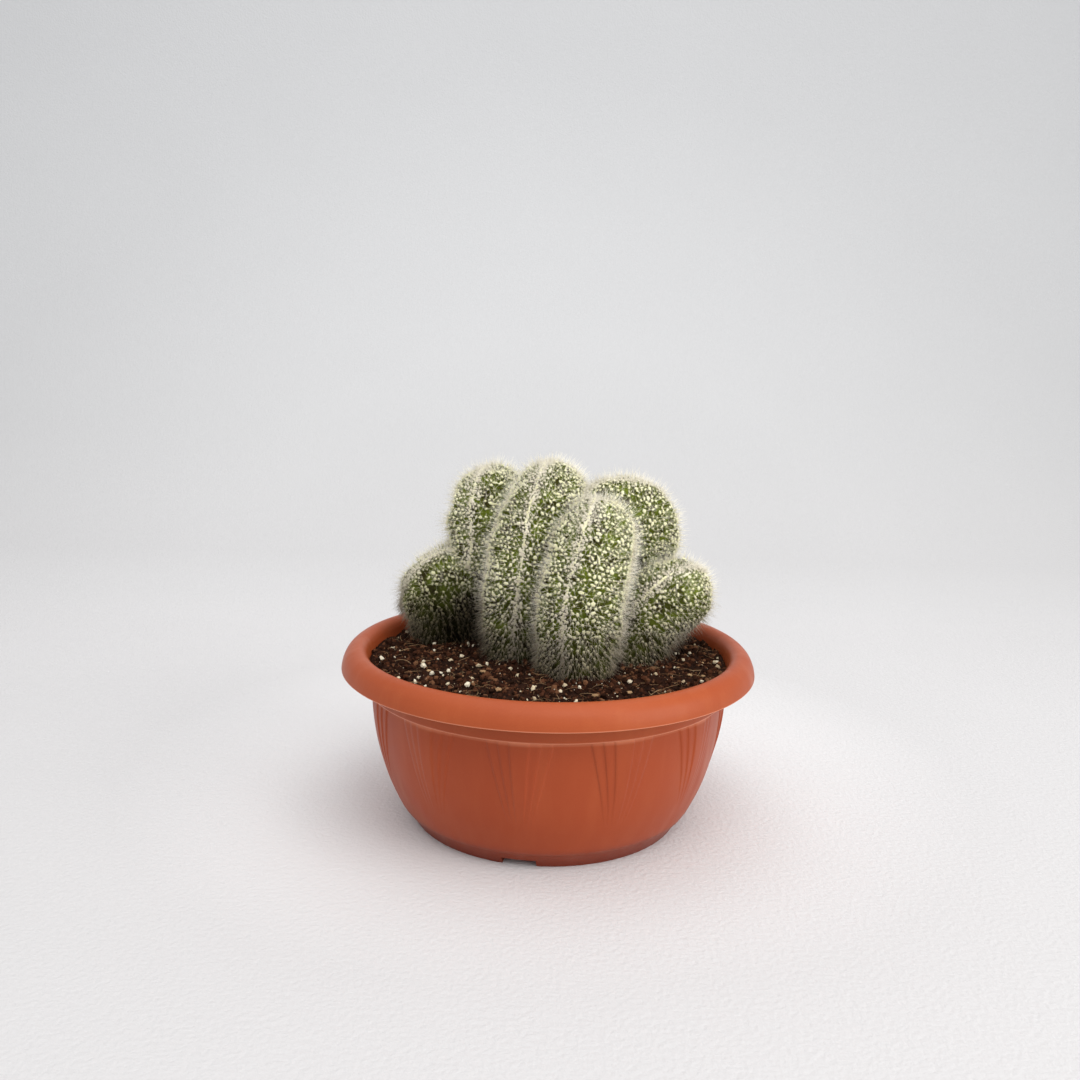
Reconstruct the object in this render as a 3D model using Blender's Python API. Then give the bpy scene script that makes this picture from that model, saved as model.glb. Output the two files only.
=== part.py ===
"""Potted crested silver torch cactus: a round plastic bowl, its compost and the crested plant.

Metres, +Z up. The origin is the centre of the bowl's foot, on the surface it stands on.
-Y is the front. An azimuth counts from the front towards +X.
The plant is a fan that folded up as it grew. Each fold is a thick slab with a round crest.
Its root, the other edge of the slab, lies in the heart of the plant.
"""

import math
import random

import bmesh
import bpy
import numpy as np
from mathutils import Matrix, Vector, geometry, noise

MM = 0.001

# Bowl
RIM_RADIUS = 100 * MM
POT_HEIGHT = 85 * MM
WALL = 1.8 * MM
WALL_FOOT_RADIUS = 71.2 * MM
WALL_SWELL = 15.4 * MM  # how much wider the wall is at the band than at the foot
# The rolled rim from the inside, over the top and round the hanging skirt to the wall:
# millimetres in from the rim's radius and down from the bowl's top
RIM_PROFILE = (
    (12.7, 4.5), (11.6, 2), (9.8, 0.4),
    (7.6, 0), (4.8, 0.9), (2.3, 3.3), (0.7, 6.7), (0, 10),
    (1, 10.3), (1.8, 9.4), (4, 4.7), (7, 2.8), (10.3, 4.5),
    (12.3, 19.8),
)
FOOT_RADIUS = 65.5 * MM
FOOT_INNER_RADIUS = 60 * MM
FOOT_TAPER = 4.2 * MM
FOOT_HEIGHT = 8 * MM
FLOOR_UNDERSIDE = 4.6 * MM
FLOOR_TOP = 6.8 * MM
NOTCH_WIDTH = 15.5 * MM
NOTCH_HEIGHT = 3.7 * MM
NOTCH_COUNT = 3
DRAIN_RADIUS = 4 * MM
DRAIN_CIRCLE = 42 * MM
DRAIN_COUNT = 6

# Pleats in the bowl's wall: nested Vs that narrow and fade downwards
PLEAT_COUNT = 10
PLEAT_TURN = -10  # azimuth of the first V, which also has the first foot notch under it
PLEAT_EDGES = (-12, -6, 0, 6, 12)  # degrees from the middle of a V
PLEAT_DEPTHS = (0, 0.8, 1.1, 0.8, 0)  # millimetres, under the band
PLEAT_TOP = 64 * MM
PLEAT_BOTTOM = 20 * MM

# Compost
SOIL_LEVEL = 77.5 * MM
SOIL_MOUND = 2.2 * MM
SOIL_GAP = 0.35 * MM
SOIL_ROUGHNESS = 1.1 * MM
GRAIN_COUNT = 20
GRAIN_RADII = (1.3 * MM, 2.6 * MM)

# Plant
# Fleshy middles that the folds grow from: x and y, then rings of height, half width and half depth,
# all in millimetres
HEARTS = (
    ((6, 21), ((60, 28, 21), (80, 29, 22), (100, 31, 23), (118, 27, 20), (130, 16, 12), (136, 4, 3))),
    ((-24, 40), ((60, 11, 10), (95, 13, 12), (115, 13, 13), (126, 12, 12), (134, 8, 6))),
    ((20, -2), ((60, 11, 12), (90, 13, 13), (108, 14, 14), (119, 12, 11), (125, 6, 5))),
    ((29, 26), ((60, 12, 10), (100, 14, 12), (116, 14, 13), (126, 11, 11), (133, 6, 6))),
)
BURIED_BOTTOM = 68 * MM
HOLE_BOTTOM = 67 * MM
HOLE_CLEARANCE = 1.1 * MM
HOLE_TOP = 82.5 * MM  # what hangs out above this height doesn't widen the hole
TUBERCLE_STEP = 6.2 * MM
TUBERCLE_HEIGHT = 0.42 * MM
SPINE_LENGTHS = (5.5 * MM, 8.5 * MM)
SPINE_RADIUS = 0.42 * MM
SPINE_SPREAD = 34  # degrees from the surface's normal, at most
SPINE_COUNT = 600

# A fold's cross-sections, one after the other: x, y, z and half thickness of its crest, then x, y, z
# of its root, in millimetres. The crest's point is the middle of the slab's round edge.
FOLDS = {
    "left": [
        (-20, 30, 116, 17, -20, 36, 78),
        (-36, 27, 112, 18.3, -33, 35, 74),
        (-48, 24.5, 108.5, 18.8, -44, 33.5, 73),
        (-56.5, 23, 103, 18.8, -53.5, 31, 73),
    ],
    "upper_left": [
        (-34.5, 27, 106, 16.5, -27, 36, 98),
        (-32.7, 23.5, 122, 16.4, -27.5, 35.5, 114),
        (-33.1, 23, 136, 16.8, -28, 34.5, 125),
        (-32, 28, 146.8, 17, -26, 37, 130),
        (-29.5, 38, 150.3, 16.6, -24, 40, 131),
        (-28, 49, 146, 16, -24, 44, 129),
        (-27, 57, 133, 16, -24.5, 47, 122),
        (-27.5, 59, 116, 16, -24.5, 46, 110),
        (-28, 57, 96, 15.5, -24, 42, 93),
        (-28, 53, 66, 14, -23, 38, 66),
    ],
    "centre": [
        (-14.5, -1, 66, 15.5, -12, 14, 66),
        (-14.5, -3, 90, 17, -12.5, 13, 88.5),
        (-13, -4, 115, 17.3, -12, 11, 107),
        (-9.5, -1, 134.5, 17.3, -9.5, 10.5, 121.5),
        (-4, 7, 149.5, 16.7, -2.5, 14, 130.5),
        (0, 18, 154.5, 16.5, 5, 20.5, 134),
        (2, 31, 150.5, 16, 5, 28, 130),
        (3, 43, 137, 16, 3, 34.5, 121),
        (3, 50, 116, 16, 3, 38.5, 105.5),
        (3, 51, 90, 15.5, 3, 35, 87.5),
        (3, 49, 66, 15, 3, 34, 66),
    ],
    "front": [
        (12.8, -24.5, 66, 16, 19.5, -6, 66),
        (12.8, -25.5, 88, 17.8, 20, -8, 88),
        (13.8, -25, 107, 19, 20.5, -9, 102),
        (17, -21, 124.5, 18.8, 21.5, -9, 114),
        (20, -11, 136, 18.3, 22.5, -2, 120.5),
        (22, 2, 137.5, 17.5, 22, 6.5, 121),
        (22.5, 13, 131, 16, 21, 13.5, 116),
        (22, 20, 118, 15, 20.5, 18.5, 109),
    ],
    "upper_right": [
        (13, 24, 124, 15, 14, 24, 113),
        (21.5, 20.5, 138, 16.5, 20, 21.5, 125.5),
        (31.5, 20, 145.8, 17.3, 28, 21, 130),
        (43, 21.5, 144, 17.6, 34.5, 20.5, 129),
        (46.5, 26.5, 133, 17.2, 38.5, 17.5, 122),
        (43.5, 33, 118, 16.9, 37, 22, 111),
        (38, 40, 100, 16.8, 31, 28, 96),
        (34, 44, 82, 15.5, 23, 30, 81),
        (32, 44, 66, 14, 22, 30, 66),
    ],
    "right": [
        (38, -3, 66, 14, 42, 12, 66),
        (39.5, -2, 81, 16.3, 45, 10.5, 80),
        (45, 0.5, 94.5, 17.5, 50, 11.5, 89),
        (53, 4, 102.5, 18.6, 55.5, 13, 94),
        (61.5, 7.5, 107, 19, 62, 13.5, 98),
    ],
    "back_right": [
        (34, 36, 98, 14, 32, 33, 70),
        (46, 34, 101, 16, 42, 31, 70),
        (56, 31, 98, 16.5, 52, 29, 70),
    ],
    "back_left": [
        (-25, 47, 98, 14, -22, 38, 70),
        (-38, 46, 101, 15, -34, 38, 70),
        (-50, 44, 97, 15.5, -46, 38, 70),
    ],
}
OPEN_ENDS = ("left", "right", "back_right", "back_left")  # their last section is rounded off
ROOT_THICKNESS = 0.8  # of the crest's
ARC_COLUMNS = 5  # points round a quarter of a crest

# Colours
TERRACOTTA = (0.62, 0.20, 0.10)
COMPOST_BROWN = (0.09, 0.045, 0.028)
SILVER_GREEN = (0.47, 0.53, 0.33)


def clear_scene():
    for obj in list(bpy.data.objects):
        bpy.data.objects.remove(obj)


def make_material(name, colour, roughness):
    material = bpy.data.materials.new(name)
    material.use_nodes = True
    shader = material.node_tree.nodes["Principled BSDF"]
    shader.inputs["Base Color"].default_value = (*colour, 1)
    shader.inputs["Roughness"].default_value = roughness
    shader.inputs["Metallic"].default_value = 0
    material.diffuse_color = (*colour, 1)
    return material


def add_object(name, bm, material=None, cutter=False):
    """Makes an object of a bmesh, with its faces pointing out. A cutter is a helper that isn't a node."""
    bmesh.ops.recalc_face_normals(bm, faces=bm.faces)
    mesh = bpy.data.meshes.new(name)
    bm.to_mesh(mesh)
    bm.free()
    obj = bpy.data.objects.new(name, mesh)
    bpy.context.scene.collection.objects.link(obj)
    if material:
        mesh.materials.append(material)
    if cutter:
        obj.hide_render = True
        obj.display_type = "WIRE"
    return obj


def loft(bm, rings, diamonds=False):
    """Adds faces between closed rings of equally many points, and one over each end.
    With diamonds, every second point is the top of a low four-sided pyramid."""
    rows = [[bm.verts.new(point) for point in ring] for ring in rings]
    for j, (lower, upper) in enumerate(zip(rows, rows[1:])):
        for k in range(len(lower)):
            a, b, c, d = lower[k - 1], lower[k], upper[k], upper[k - 1]
            if not diamonds:
                bm.faces.new((a, b, c, d))
            elif (j + k) % 2:
                bm.faces.new((a, b, d))
                bm.faces.new((b, c, d))
            else:
                bm.faces.new((a, b, c))
                bm.faces.new((a, c, d))
    bm.faces.new(rows[0])
    bm.faces.new(rows[-1])


def cut(obj, cutter, solver="EXACT"):
    modifier = obj.modifiers.new("cut " + cutter.name, "BOOLEAN")
    modifier.operation = "DIFFERENCE"
    modifier.solver = solver
    modifier.object = cutter


def apply_modifiers(obj):
    """Replaces the object's mesh by what its modifiers make of it."""
    graph = bpy.context.evaluated_depsgraph_get()
    made = bpy.data.meshes.new_from_object(obj.evaluated_get(graph))
    obj.modifiers.clear()
    obj.data = made


def azimuth_point(degrees, radius, height):
    turn = math.radians(degrees)
    return Vector((radius * math.sin(turn), -radius * math.cos(turn), height))


def outer_wall_radius(height):
    """The wall's outer radius: it swells quickly above the foot and stands nearly upright at the band."""
    share = (height - FOOT_HEIGHT) / (PLEAT_TOP - FOOT_HEIGHT)
    share = min(max(share, 0), 1)
    return WALL_FOOT_RADIUS + WALL_SWELL * math.sin(share * math.pi / 2) ** 0.86


def pot_ring(radius, height, pleated=False):
    """One ring of the bowl: the edges of each V, and a point between each two Vs. On a pleated ring
    the edges draw together and fade out as it lies lower."""
    share = (height - PLEAT_BOTTOM) / (PLEAT_TOP - PLEAT_BOTTOM)
    share = min(max(share, 0), 1)
    fade = share * share * (3 - 2 * share) if pleated else 0
    narrow = 0.3 + 0.7 * share if pleated else 1
    ring = []
    for k in range(PLEAT_COUNT):
        middle = PLEAT_TURN + k * 360 / PLEAT_COUNT
        for edge, depth in zip(PLEAT_EDGES, PLEAT_DEPTHS):
            ring.append(azimuth_point(middle + edge * narrow, radius - depth * MM * fade, height))
        ring.append(azimuth_point(middle + 180 / PLEAT_COUNT, radius, height))
    return ring


def pot_rings():
    """The bowl's rings from the middle of its inside, over the rim and down to the foot's underside."""
    wall_heights = [z * MM for z in (64, 54, 44, 35, 27, 20, 14)]
    rings = [pot_ring(20 * MM, FLOOR_TOP), pot_ring(62 * MM, FLOOR_TOP)]
    rings += [pot_ring(outer_wall_radius(z) - WALL, z) for z in wall_heights[::-2]]
    rings += [pot_ring(RIM_RADIUS - inset * MM, POT_HEIGHT - drop * MM) for inset, drop in RIM_PROFILE]
    rings += [pot_ring(outer_wall_radius(z), z, pleated=True) for z in wall_heights]
    rings += [pot_ring(outer_wall_radius(FOOT_HEIGHT), FOOT_HEIGHT)]
    rings += [pot_ring(FOOT_RADIUS + FOOT_TAPER, FOOT_HEIGHT - 1 * MM), pot_ring(FOOT_RADIUS, 0)]
    rings += [pot_ring(FOOT_INNER_RADIUS, 0), pot_ring(FOOT_INNER_RADIUS - 1 * MM, FLOOR_UNDERSIDE)]
    rings += [pot_ring(20 * MM, FLOOR_UNDERSIDE)]
    return rings


def add_notch_cutters(bm):
    """Boxes that cut the foot ring from its underside, the first one under the first pleat."""
    for k in range(NOTCH_COUNT):
        degrees = PLEAT_TURN + k * 360 / NOTCH_COUNT
        centre = azimuth_point(degrees, FOOT_RADIUS, NOTCH_HEIGHT - 5 * MM)
        place = Matrix.Translation(centre) @ Matrix.Rotation(math.radians(degrees), 4, "Z")
        size = Matrix.Diagonal((NOTCH_WIDTH, 20 * MM, 10 * MM, 1))
        bmesh.ops.create_cube(bm, size=1, matrix=place @ size)


def add_drain_cutters(bm):
    for k in range(DRAIN_COUNT):
        centre = azimuth_point((k + 0.5) * 360 / DRAIN_COUNT, DRAIN_CIRCLE, FLOOR_TOP)
        bmesh.ops.create_cone(bm, cap_ends=True, segments=12, radius1=DRAIN_RADIUS, radius2=DRAIN_RADIUS,
                              depth=12 * MM, matrix=Matrix.Translation(centre))


def make_pot():
    bm = bmesh.new()
    loft(bm, pot_rings())
    pot = add_object("pot", bm, make_material("terracotta plastic", TERRACOTTA, 0.42))
    for name, add_cutters in (("foot notches", add_notch_cutters), ("drain holes", add_drain_cutters)):
        bm = bmesh.new()
        add_cutters(bm)
        cut(pot, add_object(name, bm, cutter=True))
    pot.data.shade_smooth()
    pot.data.set_sharp_from_angle(angle=math.radians(35))
    return pot


def spline(points, step):
    """A smooth curve through the rows, read off at even steps of the length of its first three columns."""
    p = np.array(points, float)
    ends = np.vstack([2 * p[0] - p[1], p, 2 * p[-1] - p[-2]])
    t = np.linspace(0, 1, 30, endpoint=False)[:, None]
    spans = []
    for a, b, c, d in zip(ends, ends[1:], ends[2:], ends[3:]):
        spans.append((2 * b + (c - a) * t + (2 * a - 5 * b + 4 * c - d) * t**2
                      + (3 * b - a - 3 * c + d) * t**3) / 2)
    fine = np.vstack(spans + [p[-1:]])
    length = np.append(0, np.cumsum(np.linalg.norm(np.diff(fine[:, :3], axis=0), axis=1)))
    even = np.linspace(0, length[-1], max(3, round(length[-1] / step)) + 1)
    return np.stack([np.interp(even, length, column) for column in fine.T], axis=1)


def unit(vectors):
    return vectors / np.linalg.norm(vectors, axis=-1, keepdims=True)


def fold_frame(name):
    """A slab's crest and root lines with their half thicknesses, and its tangent, inward and sideways
    directions, at even steps along the crest."""
    line = spline(np.array(FOLDS[name]) * MM, TUBERCLE_STEP)
    crest, root = line[:, :4], np.column_stack([line[:, 4:], ROOT_THICKNESS * line[:, 3]])
    tangent = unit(np.gradient(crest[:, :3], axis=0))
    inward = root[:, :3] - crest[:, :3]
    inward = unit(inward - (inward * tangent).sum(1, keepdims=True) * tangent)
    return crest, root, tangent, inward, np.cross(tangent, inward)


def section_columns(flank):
    """For each point round a section: its side, its turn from the crest in degrees, and its share of
    the way down the flank. The last point of a half is the middle of the flat root."""
    half = [(1, 90 * k / ARC_COLUMNS, 0) for k in range(ARC_COLUMNS + 1)]
    half += [(1, 90, k / flank) for k in range(1, flank + 1)]
    left = [(-1, turn, share) for _, turn, share in half[:0:-1]]
    return np.array(half + [(0, 90, 1)] + left, float)


def fold_rings(name):
    """Points and outward directions of a fold's surface, a ring to each step along its crest.
    Every second point stands out as a tubercle, and a free end is rounded off by shrinking rings."""
    crest, root, tangent, inward, sideways = fold_frame(name)
    depth = np.linalg.norm(root[:, :3] - crest[:, :3], axis=1).mean()
    side, turn, share = section_columns(max(2, round(depth / TUBERCLE_STEP))).T
    turn = np.radians(turn)
    rings = [(k, 0.0) for k in range(len(crest))]
    if name in OPEN_ENDS:
        rings += [(-1, math.radians(angle)) for angle in (22, 44, 65, 83)]
    points, directions = [], []
    for row, (k, lean) in enumerate(rings):
        out = np.cos(turn)[:, None] * -inward[k] + (side * np.sin(turn))[:, None] * sideways[k]
        centre = crest[k, :3] + share[:, None] * (root[k, :3] - crest[k, :3])
        radius = crest[k, 3] + share * (root[k, 3] - crest[k, 3])
        high = (row + np.arange(len(turn))) % 2 == 0
        bump = TUBERCLE_HEIGHT * np.where(share == 1, 0, np.where(high, 1, -1))
        out = math.cos(lean) * out + math.sin(lean) * tangent[k]
        points.append(centre + (radius + bump)[:, None] * out)
        directions.append(out)
    return np.array(points), np.array(directions)


def depth_outside(name, points):
    """How far each point lies outside a fold's slab, negative inside it."""
    crest, root, *_ = fold_frame(name)
    best = np.full(len(points), 1.0)
    for start, end in zip(crest, root):
        along = end[:3] - start[:3]
        share = np.clip(((points - start[:3]) @ along) / (along @ along), 0, 1)
        gap = np.linalg.norm(points - start[:3] - share[:, None] * along, axis=1)
        best = np.minimum(best, gap - start[3] - share * (end[3] - start[3]))
    return best


def fold_object(name):
    bm = bmesh.new()
    loft(bm, fold_rings(name)[0], diamonds=True)
    return add_object("fold " + name, bm)


def heart_object(middle, sizes):
    """A fleshy middle that folds grow from. They cover it."""
    turns = [2 * math.pi * k / 16 for k in range(16)]
    rings = []
    for height, across, deep in sizes:
        rings.append([Vector((middle[0] + across * math.cos(turn), middle[1] + deep * math.sin(turn),
                              height)) * MM for turn in turns])
    bm = bmesh.new()
    loft(bm, rings)
    return add_object("heart", bm)


def flesh_objects():
    """All folds, and the hearts between them."""
    return [fold_object(name) for name in FOLDS] + [heart_object(*heart) for heart in HEARTS]


def spine_places():
    """Two places beside the top of each tubercle that shows, each inside one face, with the direction
    there. A tubercle shows if it is outside all other folds and above the compost."""
    first, second = [], []
    for name in FOLDS:
        points, directions = fold_rings(name)
        rows, columns = points.shape[:2]
        near = np.roll(points, -1, axis=1), np.roll(points, 1, axis=1)
        for row in range(1, rows - 1):
            for column in range(row % 2, columns, 2):
                for places, beside, ahead in ((first, near[0], 1), (second, near[1], -1)):
                    place = (0.6 * points[row, column] + 0.2 * beside[row, column]
                             + 0.2 * points[row + ahead, column])
                    places.append((name, place, directions[row, column]))
    return [kept(places) for places in (first, second)]


def kept(places):
    """The places that show."""
    points = np.array([point for _, point, _ in places])
    shows = points[:, 2] > SOIL_LEVEL + SOIL_MOUND + 3 * MM
    for other in FOLDS:
        inside = depth_outside(other, points) < 0.5 * MM
        shows &= ~(inside & np.array([name != other for name, *_ in places]))
    return [(point, out) for (_, point, out), show in zip(places, shows) if show]


def spine_direction(direction, rng):
    """The surface's own direction, leant over by a random angle to a random side."""
    straight = Vector(direction).normalized()
    across = straight.orthogonal()
    across.rotate(Matrix.Rotation(rng.uniform(0, 2 * math.pi), 3, straight))
    lean = math.radians(SPINE_SPREAD) * math.sqrt(rng.random())
    return (straight * math.cos(lean) + across * math.sin(lean)).normalized()


def clear_of_the_rest(base, tip):
    """True if a spine misses the folds beside it, the compost and the bowl."""
    middle_and_tip = np.array([base + 0.55 * (tip - base), tip])
    if tip[2] < SOIL_LEVEL + SOIL_MOUND + 2 * MM:
        return False
    if tip[2] < POT_HEIGHT + 2 * MM and math.hypot(tip[0], tip[1]) > 83 * MM:
        return False
    return all(depth_outside(name, middle_and_tip).min() > 1 * MM for name in FOLDS)


def spine_object(root, tip):
    """A three-sided needle from root to tip."""
    axis = tip - root
    place = Matrix.Translation((root + tip) / 2) @ axis.to_track_quat("Z", "Y").to_matrix().to_4x4()
    bm = bmesh.new()
    bmesh.ops.create_cone(bm, cap_ends=True, segments=3, radius1=SPINE_RADIUS, radius2=0,
                          depth=axis.length, matrix=place)
    return add_object("spine", bm)


def spine_objects():
    """Spines on tubercles spread evenly over the whole plant, each sunk well into the flesh."""
    rng = random.Random(11)
    places = []
    for group in spine_places():
        rng.shuffle(group)
        places += group
    spines, tips = [], []
    for point, direction in places:
        base = Vector(point)
        lean = spine_direction(direction, rng)
        tip = base + lean * rng.uniform(*SPINE_LENGTHS)
        if not clear_of_the_rest(np.array(base), np.array(tip)):
            continue
        if any((tip - other).length < 3 * MM for other in tips):
            continue
        spines.append(spine_object(base - lean * 2.2 * MM, tip))
        tips.append(tip)
        if len(spines) == SPINE_COUNT:
            break
    return spines


def union(obj, others):
    """Joins the others to obj by one Boolean union on a collection, and removes them."""
    group = bpy.data.collections.new("joined to " + obj.name)
    bpy.context.scene.collection.children.link(group)
    for other in others:
        bpy.context.scene.collection.objects.unlink(other)
        group.objects.link(other)
    modifier = obj.modifiers.new("union", "BOOLEAN")
    modifier.operation = "UNION"
    modifier.solver = "MANIFOLD"
    modifier.operand_type = "COLLECTION"
    modifier.collection = group
    apply_modifiers(obj)
    for other in others:
        bpy.data.objects.remove(other)
    bpy.data.collections.remove(group)


def box_cutter(name, low, high, half_width=150 * MM):
    bm = bmesh.new()
    place = Matrix.Translation((0, 0, (low + high) / 2))
    size = Matrix.Diagonal((2 * half_width, 2 * half_width, high - low, 1))
    bmesh.ops.create_cube(bm, size=1, matrix=place @ size)
    return add_object(name, bm, cutter=True)


def fill_hollows(obj):
    """Keeps only the mesh's largest connected shell, so that small sealed hollows are filled."""
    bm = bmesh.new()
    bm.from_mesh(obj.data)
    unseen = set(bm.verts)
    shells = []
    while unseen:
        shell, edge = set(), [unseen.pop()]
        while edge:
            vert = edge.pop()
            shell.add(vert)
            near = {e.other_vert(vert) for e in vert.link_edges} & unseen
            unseen -= near
            edge += near
        shells.append(shell)
    for shell in sorted(shells, key=len)[:-1]:
        bmesh.ops.delete(bm, geom=list(shell), context="VERTS")
    bm.to_mesh(obj.data)
    bm.free()


def trim_below(obj, height):
    """Cuts the object off flat at a height, and removes the cutter."""
    cutter = box_cutter("below", -50 * MM, height)
    cut(obj, cutter, solver="MANIFOLD")
    apply_modifiers(obj)
    bpy.data.objects.remove(cutter)


def make_cactus():
    cactus, *rest = flesh_objects()
    cactus.name = cactus.data.name = "cactus"
    cactus.data.materials.append(make_material("silver green flesh", SILVER_GREEN, 0.6))
    union(cactus, rest)
    trim_below(cactus, BURIED_BOTTOM)
    fill_hollows(cactus)
    union(cactus, spine_objects())
    fill_hollows(cactus)
    return cactus


def footprint_prism(obj):
    """An upright prism round what of the object is under the top of the hole, with some clearance."""
    turns = [2 * math.pi * k / 12 for k in range(12)]
    around = [Vector((math.cos(turn), math.sin(turn))) * HOLE_CLEARANCE for turn in turns]
    verts = obj.data.vertices
    points = [vert.co for vert in verts if vert.co.z < HOLE_TOP]
    for start, end in (sorted((verts[k].co for k in edge.vertices), key=lambda co: co.z)
                       for edge in obj.data.edges):
        if start.z < HOLE_TOP < end.z:
            points.append(start.lerp(end, (HOLE_TOP - start.z) / (end.z - start.z)))
    flat = [point.xy + step for point in points for step in around]
    corners = []
    for k in geometry.convex_hull_2d(flat):
        if all((flat[k] - corner).length > 0.6 * MM for corner in corners):
            corners.append(flat[k])
    bm = bmesh.new()
    loft(bm, [[(x, y, height) for x, y in corners] for height in (HOLE_BOTTOM, 95 * MM)])
    return add_object("footprint", bm)


def make_hole_cutter():
    """The plain hole that the plant stands in: the outlines of its folds at the compost's level."""
    flesh = flesh_objects()
    cutter, *rest = [footprint_prism(obj) for obj in flesh]
    for obj in flesh:
        bpy.data.objects.remove(obj)
    cutter.name = "plant hole"
    union(cutter, rest)
    fill_hollows(cutter)
    cutter.hide_render = True
    cutter.display_type = "WIRE"
    return cutter


def inner_wall_radius(height):
    """The bowl's inside radius, which the compost fills. Above the pleats the wall leans out to the rim."""
    if height < PLEAT_TOP:
        return outer_wall_radius(height) - WALL
    inset, drop = RIM_PROFILE[0]
    low = outer_wall_radius(PLEAT_TOP) - WALL
    share = (height - PLEAT_TOP) / (POT_HEIGHT - drop * MM - PLEAT_TOP)
    return low + share * (RIM_RADIUS - inset * MM - low)


def soil_height(x, y):
    """A low mound towards the plant with crumbs, by a seeded noise."""
    mound = SOIL_MOUND * max(0, 1 - (x * x + y * y) / (80 * MM) ** 2)
    place = Vector((x, y, 0)) / (7 * MM)
    return SOIL_LEVEL + mound + SOIL_ROUGHNESS * noise.fractal(place, 0.8, 2.1, 3)


def soil_rings():
    """From the underside on the bowl's floor, up its wall and in over the crumbled top."""
    columns = 48
    rings = []

    def ring(radius, height=None):
        row = [azimuth_point(360 * k / columns, radius, 0) for k in range(columns)]
        for point in row:
            point.z = soil_height(point.x, point.y) if height is None else height
        rings.append(row)

    bottom = FLOOR_TOP + SOIL_GAP
    ring(61 * MM, bottom)
    for height in (14 * MM, 27 * MM, 44 * MM, 64 * MM):
        ring(inner_wall_radius(height) - SOIL_GAP - 0.15 * MM, height)
    edge = inner_wall_radius(76 * MM) - SOIL_GAP - 0.2 * MM
    ring(edge, 75.5 * MM)
    for radius in (edge - 1.5 * MM, 79 * MM, 72 * MM, 64.5 * MM, 56.5 * MM, 48 * MM, 38 * MM, 24 * MM):
        ring(radius)
    return rings


def grain_places():
    """Places and radii of the larger white grains that lie on the compost, clear of plant and bowl."""
    rng = random.Random(5)
    places = []
    while len(places) < GRAIN_COUNT:
        degrees = rng.uniform(0, 360)
        distance = rng.uniform(40, 83) * MM
        radius = rng.uniform(*GRAIN_RADII)
        point = azimuth_point(degrees, distance, 0)
        point.z = soil_height(point.x, point.y) + 0.15 * radius
        spot = np.array([point])
        if min(depth_outside(name, spot)[0] for name in FOLDS) < radius + 1.5 * MM:
            continue
        if distance + radius > 85 * MM or any((point - p).length < radius + r for p, r in places):
            continue
        places.append((point, radius))
    return places


def grain_objects():
    """White grains as low lumps, half sunk in the compost."""
    rng = random.Random(6)
    grains = []
    for point, radius in grain_places():
        bm = bmesh.new()
        turn = Matrix.Rotation(rng.uniform(0, math.pi), 4, "Z")
        size = Matrix.Diagonal((radius, radius * rng.uniform(0.7, 1), radius * rng.uniform(0.6, 0.8), 1))
        bmesh.ops.create_icosphere(bm, subdivisions=1, radius=1,
                                   matrix=Matrix.Translation(point) @ turn @ size)
        grains.append(add_object("grain", bm))
    return grains


def make_soil():
    bm = bmesh.new()
    loft(bm, soil_rings())
    soil = add_object("soil", bm, make_material("compost", COMPOST_BROWN, 0.95))
    union(soil, grain_objects())
    cut(soil, make_hole_cutter())
    return soil


def main():
    clear_scene()
    make_pot()
    make_soil()
    make_cactus()


main()
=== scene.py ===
import math

import bmesh
import bpy
import numpy as np
from mathutils import Matrix, Vector


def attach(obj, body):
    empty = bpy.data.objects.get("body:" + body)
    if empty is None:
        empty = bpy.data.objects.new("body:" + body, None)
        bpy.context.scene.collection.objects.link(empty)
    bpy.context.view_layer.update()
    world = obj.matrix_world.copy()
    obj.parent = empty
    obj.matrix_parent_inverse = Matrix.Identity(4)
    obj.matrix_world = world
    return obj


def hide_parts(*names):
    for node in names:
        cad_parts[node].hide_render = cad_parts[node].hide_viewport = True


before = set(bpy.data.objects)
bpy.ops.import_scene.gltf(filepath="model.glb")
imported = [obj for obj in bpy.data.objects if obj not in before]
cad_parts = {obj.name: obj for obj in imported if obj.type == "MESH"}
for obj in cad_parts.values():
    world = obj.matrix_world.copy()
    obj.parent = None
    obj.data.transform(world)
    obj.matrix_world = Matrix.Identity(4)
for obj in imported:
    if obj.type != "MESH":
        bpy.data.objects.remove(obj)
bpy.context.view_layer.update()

# Crested cactus in a plastic bowl. Metres, +Z up, -Y is the front. Sizes in the dictionaries are in
# millimetres, and azimuths are degrees from the front towards +X, as in the solids.
mm = 0.001
print("frame loaded")


def unit(vectors):
    return vectors / np.linalg.norm(vectors, axis=-1, keepdims=True)


def smoothStep(low, high, value):
    share = np.clip((value - low) / (high - low), 0, 1)
    return share * share * (3 - 2 * share)


def polar(radius, turn):
    # x and y at an azimuth in radians
    return radius * np.sin(turn), -radius * np.cos(turn)


def evenTurns(count):
    return np.arange(count) * 2 * math.pi / count


def turned(angle, first, second):
    # the first direction, turned by an angle towards the second
    return np.cos(angle)[..., None] * first + np.sin(angle)[..., None] * second


def repeated(pattern, size, count):
    # the faces of one shape, for copies of it one after the other that have so many points each
    return (pattern + size * np.arange(count)[:, None, None]).reshape(-1, pattern.shape[1])


def waveField(points, wavelength, seed):
    # sum of sine waves in random directions, scaled to a spread of about 1
    count = 20
    rng = np.random.default_rng(seed)
    directions = unit(rng.normal(size=(count, 3)))
    pitch = 2 * math.pi / wavelength * rng.uniform(0.6, 1.5, count)
    phase = rng.uniform(0, 2 * math.pi, count)
    return np.sin(points @ directions.T * pitch + phase).sum(1) / math.sqrt(count / 2)


def atEven(length, count, *tables):
    # tables of rows along a length, read off at so many even steps of it
    even = np.linspace(0, length[-1], count)
    return [np.stack([np.interp(even, length, column) for column in table.T], axis=1) for table in tables]


def lengthAlong(points):
    return np.append(0, np.cumsum(np.linalg.norm(np.diff(points, axis=0), axis=1)))


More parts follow.
